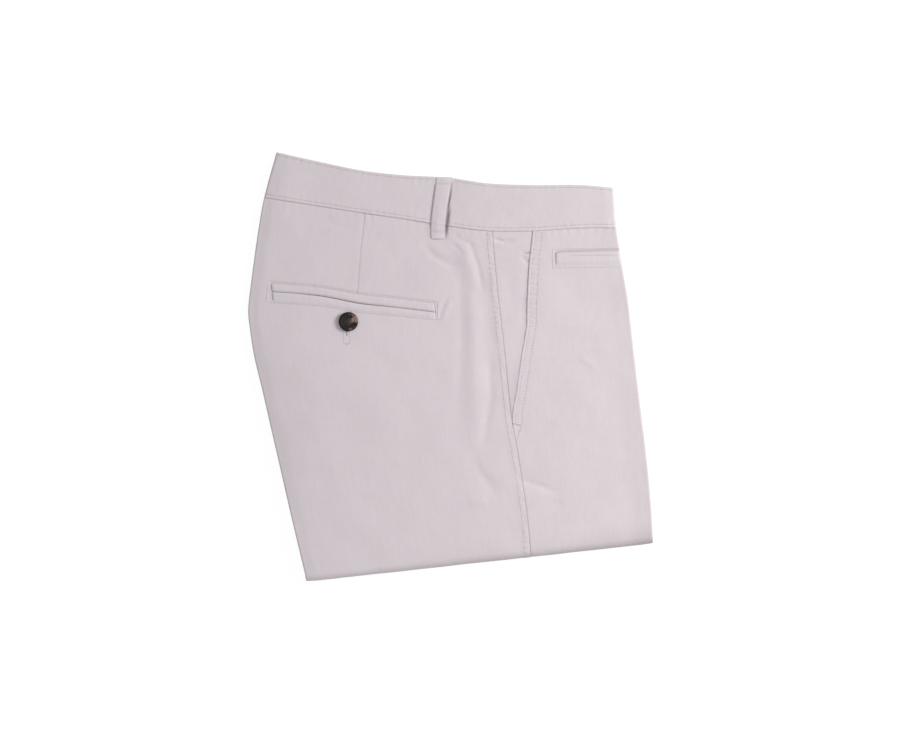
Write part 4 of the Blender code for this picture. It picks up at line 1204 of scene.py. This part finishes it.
# %% Make the coin welt
COIN_START, COIN_TOP, COIN_DEPTH = 92.2, 100.9, 12.6
count, wide = 49, 21
share = np.linspace(0, 1, count)[:, None]
part = (1 - np.cos(np.linspace(0, math.pi, wide)))[None, :] / 2
coin_y = COIN_TOP - COIN_DEPTH * part + 1.2 * share
coin_y = coin_y - 0.9 * (1 - ease(share, 0.0, 0.1)) * (1 - part)
coin_end = smooth(OUTLINE, "front_fold", "y", coin_y)
fold_in = (coin_end - COIN_START) * (1 - share)
coin_x = coin_end - fold_in
roll = np.clip(1 - fold_in / (ROLL / 2), 0.0, 1.0)
coin_x = coin_x + 0.1 * roll
fall = ROLL / 2 * (1 - np.sqrt(np.clip(1 - roll ** 2, 0.0, 1.0)))
coin_level = level_at(coin_x, coin_y)
coin_ground = height(coin_x, coin_level) + pocket_lift(coin_x, coin_level)
coin_ground = coin_ground + handled(coin_x, coin_y) - FRONT_DROOP * roll - fall
coin_ground = coin_ground - side_droop(fold_in, FRONT_DROOP) * (1 - roll)
down = COIN_DEPTH * part
swell = 0.62 * ease(down, -0.1, 0.9) * ease(COIN_DEPTH - down, -0.1, 3.4)
swell = swell * ease(coin_x - COIN_START, -0.1, 1.5) * (1 - 0.5 * roll)
swell = swell - 0.16 * groove(down - 10.6) + 0.06 * pucker(down - 10.6, coin_x, 4.0, 40, 5.0)
top = coin_ground + swell + 0.1 * groove(down - 0.9, 0.8)
outer = np.stack([coin_x, coin_y, top], -1)
inner = np.stack([coin_x, coin_y, np.minimum(coin_ground - 0.3, top - 0.3)], -1)
flat = np.stack([coin_x, coin_y + 1200], -1)
# painted shadow along the opening and at the left end
painted_dark = 0.4 * groove(down, 0.4) + 0.15 * groove(coin_x - COIN_START, 0.35)
coin_welt = shell("coin_welt_cloth", outer, inner, flat, painted_dark)
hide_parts("coin_pocket_welt")
print("coin welt faces:", len(coin_welt.data.polygons))

# %% [markdown]
# ## Belt loop
#
# The loop is a strip folded to three plies and sewn down at both ends. Between them it stands
# off the waistband, and a painted shadow runs along one side.

# %% Make the belt loop
LOOP_TOP, LOOP_FOOT = 166.6, 112.0
LOOP_LINE = {
    "y": (112.0, 118.0, 127.0, 142.0, 155.0, 166.5),
    "centre": (-11.1, -11.1, -10.8, -8.95, -7.1, -5.7),
    "width": (12.6, 12.7, 13.0, 13.4, 13.7, 14.0),
}
count, wide = 81, 25
share = np.linspace(0, 1, count)[:, None]
across = np.linspace(-1, 1, wide)[None, :]
across = np.sign(across) * np.abs(across) ** 0.8
loop_y = LOOP_TOP + (LOOP_FOOT - LOOP_TOP) * share
round_foot = 1 - 0.05 * ease(share, 0.975, 1.0)
half_loop = smooth(LOOP_LINE, "width", "y", loop_y) / 2
loop_x = smooth(LOOP_LINE, "centre", "y", loop_y) + across * half_loop * round_foot
loop_y = loop_y + 0.0 * across + 0.7 * ease(share, 0.96, 1.0) * across ** 6
stand = np.sin(math.pi * np.clip((share - 0.07) / (0.90 - 0.07), 0.0, 1.0))
arch = 0.95 * stand ** 0.8 * (0.82 + 0.18 * across)
base = ground(loop_x, loop_y) + arch
thick = 1.0 * np.sqrt(np.clip(1 - np.abs(across) ** 7, 0.0, 1.0))
thick = thick * (0.35 + 0.65 * ease(share, 0.0, 0.03)) * (0.35 + 0.65 * ease(1 - share, 0.0, 0.03))
LOOP_LENGTH = 54.4
sewn = groove((share - 0.10) * LOOP_LENGTH, 0.9) + groove((share - 0.87) * LOOP_LENGTH, 0.9)
crown = base + thick - 0.25 * sewn + 0.12 * np.cos(across * math.pi * 1.2)
crown = crown + 0.05 * waves(loop_x, loop_y, 9.0, 50)
outer = np.stack([loop_x, loop_y, crown], -1)
inner = np.stack([loop_x, loop_y, np.minimum(base + 0.1, crown - 0.12)], -1)
flat = np.stack([across * 6.6 + 0 * share, loop_y + 1600], -1)
# painted shadow along the loop's right edge, and painted shade at its sewn ends
painted_dark = (0.55 + 0.3 * stand) * ease(across, 0.88, 0.98) + 0.08 * sewn
belt_loop = shell("belt_loop_cloth", outer, inner, flat, painted_dark)
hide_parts("belt_loop_back_right")
print("belt loop faces:", len(belt_loop.data.polygons))

# %% [markdown]
# ## Stitches
#
# Every row of sewing is made of real stitches: short lengths of thread that dive into the cloth
# between one and the next. One stitch is modelled from a small sphere drawn out long, then laid
# along each row, tilted with the cloth. The rows of one piece are joined into one mesh.

# %% One stitch, and a sewing helper
bpy.ops.mesh.primitive_uv_sphere_add(segments=8, ring_count=5, radius=1.0)
seed_stitch = bpy.context.object
STITCH_POINTS = np.array([v.co for v in seed_stitch.data.vertices])[:, [2, 0, 1]]
STITCH_FACES = [list(f.vertices) for f in seed_stitch.data.polygons]
bpy.data.objects.remove(seed_stitch)


def plain_finish(name, colour, roughness, coat=0.0):
    finish, _, shader = new_finish(name)
    shader.inputs["Base Color"].default_value = (*colour, 1.0)
    shader.inputs["Roughness"].default_value = roughness
    shader.inputs["Coat Weight"].default_value = coat
    return finish


thread, tree, shader = new_finish("stone_thread")
# painted shade at the stitch ends and needle holes, mixed in from the attribute
mix = add_node(tree, "ShaderNodeMix", data_type="RGBA")
mix.inputs["A"].default_value = (*THREAD, 1.0)
mix.inputs["B"].default_value = (*STONE_PAINTED_SHADE, 1.0)
dive = add_node(tree, "ShaderNodeAttribute", attribute_name="painted_shade")
tree.links.new(dive.outputs["Fac"], mix.inputs["Factor"])
tree.links.new(mix.outputs["Result"], shader.inputs["Base Color"])
shader.inputs["Roughness"].default_value = 0.65
shader.inputs["Specular IOR Level"].default_value = 0.3
dark_thread = plain_finish("button_thread", (0.03, 0.024, 0.024), 0.7)


def search_tree(*pieces):
    """The faces of finished pieces together, in millimetres, to lay rows of stitches on."""
    corners, faces = [], []
    for piece in pieces:
        first = len(corners)
        corners += [v.co / MM for v in piece.data.vertices]
        faces += [[first + i for i in f.vertices] for f in piece.data.polygons]
    return BVHTree.FromPolygons(corners, faces)


def lengths_along(line):
    """The length of a line from its first point to each of its points."""
    return np.concatenate([[0.0], np.cumsum(np.linalg.norm(np.diff(line, axis=0), axis=1))])


def drop(tree, points, spacing=1.0):
    """Lay a line of x and y on the cloth below it."""
    points = np.array(points, float)
    lengths = lengths_along(points)
    where = np.linspace(0, lengths[-1], max(2, round(lengths[-1] / spacing) + 1))
    laid = []
    for x, y in zip(*(np.interp(where, lengths, points[:, k]) for k in (0, 1))):
        hit = tree.ray_cast(Vector((x, y, 60.0)), Vector((0.0, 0.0, -1.0)))
        if hit[0] is not None:
            laid.append(tuple(hit[0]))
    return np.array(laid)


def sew(name, tree, rows, seed, holes=0.42, dive=0.42):
    """Rows are (line in space, pitch, length, thickness, turned across the line or not)."""
    dice = np.random.default_rng(CLOTH_SEED + seed)
    points, faces = [], []
    # painted shade: the ends of each stitch are darkened
    painted_end_shade = dive * ease(np.abs(STITCH_POINTS[:, 0]), 0.45, 1.0)
    if holes:
        painted_end_shade = np.concatenate([painted_end_shade, np.full(len(STITCH_POINTS), holes)])
    for line, pitch, length, thick, crosswise in rows:
        reach = lengths_along(line)
        for where in np.arange(pitch / 2, reach[-1], pitch):
            at = [np.array([np.interp(v, reach, line[:, k]) for k in range(3)])
                  for v in (where, where - 0.8, where + 0.8)]
            spot, normal, _, _ = tree.find_nearest(Vector(at[0]))
            normal = np.array(normal)
            along = at[2] - at[1]
            along = along - normal * along.dot(normal)
            along = along / (np.linalg.norm(along) + 1e-9)
            side = np.cross(normal, along)
            if crosswise:
                along, side = side, along
            turn = dice.normal(0, 0.05)
            along, side = along + side * turn, side - along * turn
            size = dice.uniform(0.92, 1.08) * length / 2
            shape = STITCH_POINTS * (size, thick / 2, thick / 2)
            middle = np.array(spot) + normal * thick * 0.12
            first = sum(len(p) for p in points)
            laid = middle + shape[:, :1] * along + shape[:, 1:2] * side + shape[:, 2:] * normal
            # each needle hole is a small dark dot of painted shade
            dot = STITCH_POINTS * (0.3, 0.3, 0.1)
            hole = (np.array(spot) + along * pitch / 2 + dot[:, :1] * along
                    + dot[:, 1:2] * side + dot[:, 2:] * normal)
            points.append(np.concatenate([laid, hole]) if holes else laid)
            for start in (first, first + len(laid))[:2 if holes else 1]:
                faces += [[start + i for i in f] for f in STITCH_FACES]
    painted_stitch_shade = np.tile(painted_end_shade, len(points))
    points = np.concatenate(points)
    piece = finish_object(name, points, faces, points[:, :2], painted_stitch_shade, thread)
    print(name, "faces:", len(faces))
    return piece


# %% [markdown]
# ## Where the rows run
#
# Rows beside a seam follow the cloth's own grid, so they turn round the lower fold with it. The
# rows round the pockets are drawn from above and dropped on the cloth.

# %% Sew the back panel
ROW = (2.75, 1.8, 0.5, False)  # pitch, length, thickness, turned across the line or not
CLOSE = (0.62, 1.9, 0.55, True)  # a bar tack
HEM_ROW = parts_of(FINE_ROWS)[2].start + int(np.argmin(np.abs(FINE_UNDER - 135.0)))
side_row = back_surface[2:, list(NEAR_SEAM).index(SIDE_STITCH) - len(NEAR_SEAM)]
back_tree = search_tree(back_panel, upper_welt, lower_welt)
frame_lines = [drop(back_tree, line) for line in (
    *([frame_point(x, side, extra)
       for x in np.linspace(POCKET_START - 3.5, POCKET_STOP + 3.0, 30)]
      for side, extra in ((1, 1.5), (-1, 0.9))),
    [(POCKET_START - 4.0 + 0.1 * v, 65.9 + v) for v in (8.0, -8.2)],
    [(POCKET_STOP + 2.6, 48.0 + v) for v in (9.0, -6.0)],
)]
back_lines = [side_row, *frame_lines, back_surface[HEM_ROW][14:]]
back_stitches = sew("back_panel_stitches", back_tree, [(line, *ROW) for line in back_lines], 1)

# %% [markdown]
# ## Rows on the front
#
# Two rows run beside the slanted pocket mouth and are closed by a short slanting one. A bar tack
# holds each end of the opening, and the coin pocket has a frame of its own.

# %% Sew the front panel
front_tree = search_tree(front_panel, coin_welt, facing)
mouth_rows = [front_surface[:, list(NEAR_MOUTH).index(v) - len(NEAR_MOUTH)]
              for v in MOUTH_STITCHES]
inner_row, outer_row = (row[(row[:, 2] > 3) & (row[:, 1] > stop)][3:]
                        for row, stop in zip(mouth_rows, (-50.0, -46.0)))
closing = [(outer_row[-1][0], outer_row[-1][1]), (62.6, -52.0), (60.4, -58.0), (59.0, -64.0)]
COIN_FRAME = (  # from the coin welt's upper inner corner
    ((-2.4, 2.2), (25, 2.9), (54.4, 3.4)),
    ((-2.4, 2.0), (-2.2, -13.2)),
    ((-2.2, -14.0), (30, -13.6), (55.6, -13.0)),
    ((14, -3.2), (55.0, -2.8)),
)
coin_lines = [drop(front_tree, [(COIN_START + x, COIN_TOP + y) for x, y in line])
              for line in COIN_FRAME]
front_lines = [inner_row, outer_row, *coin_lines, drop(front_tree, closing),
               front_surface[HEM_ROW][14:]]
front_rows_sewn = [(line, *ROW) for line in front_lines] + [
    (drop(front_tree, [(65.6, 100.2), (71.6, 100.4)]), *CLOSE),
    (drop(front_tree, [(54.6, -49.6), (61.6, -51.4)]), 0.62, 1.5, 0.4, True),
]
front_stitches = sew("front_panel_stitches", front_tree, front_rows_sewn, 2)

# %% [markdown]
# ## Rows on the waistband and the belt loop
#
# The waistband is topstitched just above its seam and just below its top edge. Both rows stop
# short of the belt loop, which has one short row across each end.

# %% Sew the waistband and the belt loop
band_tree = search_tree(right_band)
low_row = list(BAND_LOW).index(3.1)
high_row = len(BAND_LOW) + 24 + list(BAND_HIGH).index(2.4)
shown_columns = slice(9, 14 + BAND_COLUMNS + 2)
band_rows_sewn = []
for row in (low_row, high_row):
    line = band_surface[row][shown_columns]
    for part in (line[line[:, 0] < -17.0], line[line[:, 0] > 3.0]):
        band_rows_sewn.append((part, *ROW))
band_stitches = sew("waistband_stitches", band_tree, band_rows_sewn, 3)

loop_tree = search_tree(belt_loop)
loop_lines = [drop(loop_tree, line, 0.5) for line in (
    [(-12.0, 160.9), (-0.6, 160.6)],
    [(-16.6, 118.6), (-5.0, 118.2)],
)]
loop_stitches = sew("belt_loop_stitches", loop_tree,
                    [(line, 1.5, 1.2, 0.5, False) for line in loop_lines], 4, 0, 0.4)

# %% [markdown]
# ## Buttonhole
#
# A keyhole buttonhole is worked in close satin stitches round a slit that widens to an eyelet.
# The button hides the straight part; the eyelet shows below it.

# %% Work the buttonhole
# the slit is a thin dark sheet laid on the cloth: painted shadow in the cut
slit_shadow_finish = plain_finish("slit_shadow", (0.09, 0.075, 0.08), 0.9)
HOLE_X, HOLE_Y = -90.9, 22.9
turns = np.radians(np.linspace(170, 370, 22))
eyelet = [(HOLE_X + 2.9 * math.cos(a), HOLE_Y + 0.9 + 4.0 * math.sin(a)) for a in turns]
keyhole = [(HOLE_X - 2.4, HOLE_Y + 10)] + eyelet + [(HOLE_X + 2.4, HOLE_Y + 10)]
buttonhole = sew("buttonhole_stitches", back_tree,
                 [(drop(back_tree, keyhole, 0.4), 0.5, 1.3, 0.3, True)], 5, 0, 0.1)
slit_line = drop(back_tree, [(HOLE_X - 0.1, HOLE_Y + 12), (HOLE_X, HOLE_Y + 4.2)], 0.6)
slit_width = np.array([-0.28, -0.1, 0.0, 0.1, 0.28])
slit = slit_line[:, None] + np.stack(
    [slit_width, 0 * slit_width, 0.16 - np.abs(slit_width) * 0.3], -1)[None]
buttonhole_slit_shadow = shell("buttonhole_slit_shadow", slit, slit - (0, 0, 0.12), slit[..., :2],
                        finish=slit_shadow_finish, step=1)

# %% [markdown]
# ## Button
#
# A four-hole resin button, turned with a raised rim and a dished middle. Its colour is clouded:
# nearly black, with amber and taupe showing through on one side. Cross threads hold it.

# %% Clouded resin
tortoise, tree, shader = new_finish("tortoise_resin")
place_in = add_node(tree, "ShaderNodeTexCoord").outputs["Object"]
wander = add_node(tree, "ShaderNodeTexNoise")
wander.inputs["Scale"].default_value = 260.0
wander.inputs["Detail"].default_value = 3.0
tree.links.new(place_in, wander.inputs["Vector"])
shift = add_node(tree, "ShaderNodeVectorMath", operation="SCALE")
shift.inputs["Scale"].default_value = 0.005
tree.links.new(wander.outputs["Color"], shift.inputs[0])
moved = add_node(tree, "ShaderNodeVectorMath", operation="ADD")
tree.links.new(place_in, moved.inputs[0])
tree.links.new(shift.outputs[0], moved.inputs[1])
button_low, button_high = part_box("back_pocket_button")
button_at = (button_low + button_high) / 2
CLOUDS = (  # east and north of the middle, reach, colour
    ((0.6, -0.4), 4.2, (0.060, 0.036, 0.027)),
    ((3.0, 0.8), 2.8, (0.135, 0.084, 0.060)),
    ((1.4, 6.0), 1.9, (0.110, 0.075, 0.058)),
    ((4.9, 2.6), 3.3, (0.25, 0.165, 0.120)),
    ((7.2, 0.6), 2.7, (0.19, 0.145, 0.115)),
    ((4.2, 5.4), 2.3, (0.135, 0.090, 0.066)),
    ((1.6, -5.8), 2.5, (0.115, 0.082, 0.072)),
    ((4.7, -4.2), 2.6, (0.038, 0.018, 0.017)),
)
colour = None
for (east, north), reach, tint in CLOUDS:
    spot = add_node(tree, "ShaderNodeVectorMath", operation="DISTANCE")
    spot.inputs[1].default_value = (button_at.x + east * MM + 0.0025,
                                    button_at.y + north * MM + 0.0025, button_high.z + 0.0025)
    tree.links.new(moved.outputs[0], spot.inputs[0])
    fade = add_node(tree, "ShaderNodeMapRange", interpolation_type="SMOOTHSTEP")
    fade.inputs["From Min"].default_value = reach * MM * 1.05
    fade.inputs["From Max"].default_value = reach * MM * 0.35
    tree.links.new(spot.outputs["Value"], fade.inputs["Value"])
    mix = add_node(tree, "ShaderNodeMix", data_type="RGBA")
    mix.inputs["B"].default_value = (*tint, 1.0)
    if colour is None:
        mix.inputs["A"].default_value = (0.014, 0.0105, 0.011, 1.0)
    else:
        tree.links.new(colour, mix.inputs["A"])
    tree.links.new(fade.outputs["Result"], mix.inputs["Factor"])
    colour = mix.outputs["Result"]
tree.links.new(colour, shader.inputs["Base Color"])
shader.inputs["Roughness"].default_value = 0.42
shader.inputs["Specular IOR Level"].default_value = 0.16

# %% [markdown]
# ## The button's shape
#
# A real button is turned from a blank and drilled, so it is made in the same way here: half of
# its section is drawn, spun round the middle, and cut with four cylinders.

# %% Turn and drill the button
profile = ((0.0, 0.0), (6.9, 0.0), (7.9, 0.4), (8.4, 0.9), (8.5, 1.3), (8.35, 1.8), (7.9, 2.15),
           (7.2, 2.35), (6.5, 2.3), (6.0, 2.15), (5.5, 1.95), (4.9, 1.85), (0.0, 1.75))
bpy.ops.mesh.primitive_plane_add(size=0.001, location=(0, 0, 0))
button = bpy.context.object
button.name = "tortoise_button"
work = bmesh.new()
chain = [work.verts.new((r * MM, 0.0, z * MM)) for r, z in profile]
for pair in zip(chain, chain[1:]):
    work.edges.new(pair)
work.to_mesh(button.data)
work.free()
bpy.ops.object.mode_set(mode="EDIT")
bpy.ops.mesh.select_all(action="SELECT")
bpy.ops.mesh.spin(steps=64, angle=2 * math.pi, center=(0, 0, 0), axis=(0, 0, 1))
bpy.ops.mesh.select_all(action="SELECT")
bpy.ops.mesh.remove_doubles(threshold=0.00001)
bpy.ops.mesh.normals_make_consistent(inside=False)
bpy.ops.object.mode_set(mode="OBJECT")
HOLE_RING = 2.25  # from the middle of the button to the middle of a hole
HOLES = [HOLE_RING * np.array([math.cos(a), math.sin(a)])
         for a in math.pi / 4 + math.pi / 2 * np.arange(4)]
for east, north in HOLES:
    bpy.ops.mesh.primitive_cylinder_add(
        vertices=20, radius=0.9 * MM, depth=9 * MM, location=(east * MM, north * MM, 1.5 * MM))
    drill = bpy.context.object
    bpy.context.view_layer.objects.active = button
    cut = button.modifiers.new("drill", "BOOLEAN")
    cut.operation, cut.object = "DIFFERENCE", drill
    bpy.ops.object.modifier_apply(modifier=cut.name)
    bpy.data.objects.remove(drill)
soften = button.modifiers.new("soften", "BEVEL")
soften.width, soften.segments, soften.angle_limit = 0.12 * MM, 2, math.radians(50)
bpy.ops.object.modifier_apply(modifier=soften.name)
button.data.transform(Matrix.Translation((button_at.x, button_at.y, button_low.z)))
button.data.shade_smooth()
button.data.set_sharp_from_angle(angle=math.radians(55))
button.data.materials.clear()
button.data.materials.append(tortoise)
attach(button, "root")
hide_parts("back_pocket_button")
print("button faces:", len(button.data.polygons))

# %% [markdown]
# ## The button's thread
#
# Two strands cross from hole to hole each way. They are thin tubes that rise a little in the
# middle, as thread does over the rim of a hole.

# %% Tie the button on with crossed threads
STRAND_RADIUS, STRAND_SIDES = 0.2, 6
centre = np.array([button_at.x, button_at.y, button_low.z]) / MM
share = np.linspace(0, 1, 9)[:, None]
strands = []
for start, end in ((HOLES[0], HOLES[2]), (HOLES[1], HOLES[3])):
    for offset in (-0.22, 0.22):
        aside = offset * np.array([start[1], -start[0]]) / HOLE_RING
        line = start + (end - start) * share + aside
        rise = 1.3 + 0.75 * np.sin(math.pi * share)
        strands.append(centre + np.concatenate([line, rise], axis=1))
around = np.linspace(0, 2 * math.pi, STRAND_SIDES, endpoint=False)[None, :, None]
cord_points, cord_faces = [], []
for line in strands:
    forward = np.gradient(line, axis=0)
    forward /= np.linalg.norm(forward, axis=1)[:, None]
    side = np.cross(forward, (0.0, 0.0, 1.0))
    side /= np.linalg.norm(side, axis=1)[:, None]
    up = np.cross(side, forward)
    turned = np.cos(around) * side[:, None] + np.sin(around) * up[:, None]
    ring = line[:, None] + STRAND_RADIUS * turned
    index = np.arange(len(line) * STRAND_SIDES).reshape(-1, STRAND_SIDES)
    index = index + len(cord_points) * index.size
    cord_points.append(ring.reshape(-1, 3))
    cord_faces += quads(index[:-1], index[1:]) + [index[0].tolist(), index[-1].tolist()]
cord_points = np.concatenate(cord_points)
button_thread = finish_object("button_thread", cord_points, cord_faces, cord_points[:, :2],
                              np.zeros(len(cord_points)), dark_thread)
print("strands:", len(strands), "faces:", len(cord_faces))

# %% [markdown]
# ## The cloth as it was cut
#
# A sheet of cloth keeps its area however it is folded. Each one is listed with the size that
# its shown part was cut to, and the area of one side of its folded surface is printed beside it.

def surface(piece):
    """Half the area of a closed shell, in square metres: one side of the cloth."""
    return sum(face.area for face in piece.data.polygons) / 2


LEG_LENGTH = round((WAIST_LEVEL + math.pi * HALF_STACK + HEM_LEVEL) * MM, 3)
on_back = [upper_welt, lower_welt, back_stitches, buttonhole, buttonhole_slit_shadow, button,
           button_thread]
SHEETS = (  # piece, width and length in metres, area in square metres, lies on, goes with
    (back_panel, (0.235, LEG_LENGTH), 0.107, (inner_ply, left_leg_cloth), on_back),
    (front_panel, (0.130, LEG_LENGTH), 0.0565, (inner_ply, left_leg_cloth),
     [coin_welt, front_stitches]),
    (facing, (0.045, 0.176), 0.0047, (inner_ply,), []),
    (right_band, (0.043, 0.430), None, (left_band,), [band_stitches]),
    (left_band, (0.043, 0.425), None, (), []),
    (left_leg_cloth, (0.600, LEG_LENGTH), None, (back_panel, front_panel), []),
    (inner_ply, (0.290, LEG_LENGTH), None, (left_leg_cloth,), []),
    (belt_loop, (0.0145, 0.056), None, (right_band, back_panel), [loop_stitches]),
)
for piece, size, cut_area, under, extras in SHEETS:
    print(piece.name, "cut:", size, "one side:", round(surface(piece), 5), "square metres")

# %% [markdown]
# ## Camera
#
# The garment lies on the table and the camera looks straight down from three metres, with a
# long lens, so the sides don't splay.

# %% Camera
camera_data = bpy.data.cameras.new("camera")
camera = bpy.data.objects.new("camera", camera_data)
bpy.context.scene.collection.objects.link(camera)
CAMERA_HEIGHT, CLOTH_TOP = 3.0, 0.012  # metres above the table
FRAME_WIDTH = 900 * 0.00088  # metres across the picture, at 0.88 mm to a pixel
SENSOR = 36.0
camera.location = (-0.00035, -0.0015, CAMERA_HEIGHT)
camera_data.sensor_width = SENSOR
camera_data.lens = SENSOR * (CAMERA_HEIGHT - CLOTH_TOP) / FRAME_WIDTH * 1.003
bpy.context.scene.camera = camera
print("lens:", round(camera_data.lens, 1), "mm")

# %% [markdown]
# ## Table and light
#
# The photo is a cut-out on white with soft light from the upper right, so the table is plain
# white and one large soft lamp does most of the work.

# %% Table and light
TABLE_Z = -0.0004  # the thickness of a stitch below the solids, so that no two faces coincide
table_mesh = bpy.data.meshes.new("table")
table_corners = [(x, y, TABLE_Z) for x, y in ((-4, -4), (4, -4), (4, 4), (-4, 4))]
table_mesh.from_pydata(table_corners, [], [(0, 1, 2, 3)])
table = bpy.data.objects.new("table", table_mesh)
bpy.context.scene.collection.objects.link(table)
white, tree, shader = new_finish("white_table")
shader.inputs["Base Color"].default_value = (0.12, 0.12, 0.12, 1.0)
shader.inputs["Roughness"].default_value = 0.9
shader.inputs["Specular IOR Level"].default_value = 0.0
shader.inputs["Emission Color"].default_value = (1.0, 1.0, 1.0, 1.0)
shader.inputs["Emission Strength"].default_value = 0.92
table_mesh.materials.append(white)


def lamp(name, at, target, size, power):
    data = bpy.data.lights.new(name, "AREA")
    data.shape = "DISK"
    data.size = size
    data.energy = power
    light = bpy.data.objects.new(name, data)
    light.location = at
    light.rotation_euler = (Vector(target) - Vector(at)).to_track_quat("-Z", "Y").to_euler()
    bpy.context.scene.collection.objects.link(light)


lamp("key", (1.4, 0.42, 1.0), (0.05, -1.2, 0.0), 0.8, 36.4)
lamp("fill", (0.1, -0.2, 0.8), (0.05, -0.15, 0.0), 0.5, 0.7)
world = bpy.data.worlds.new("studio")
world.use_nodes = True
world.node_tree.nodes["Background"].inputs["Color"].default_value = (1.0, 1.0, 1.0, 1.0)
world.node_tree.nodes["Background"].inputs["Strength"].default_value = 0.54
bpy.context.scene.world = world
bpy.context.scene.view_settings.view_transform = "Standard"
bpy.context.scene.view_settings.look = "None"
print("lamps:", len(bpy.data.lights))
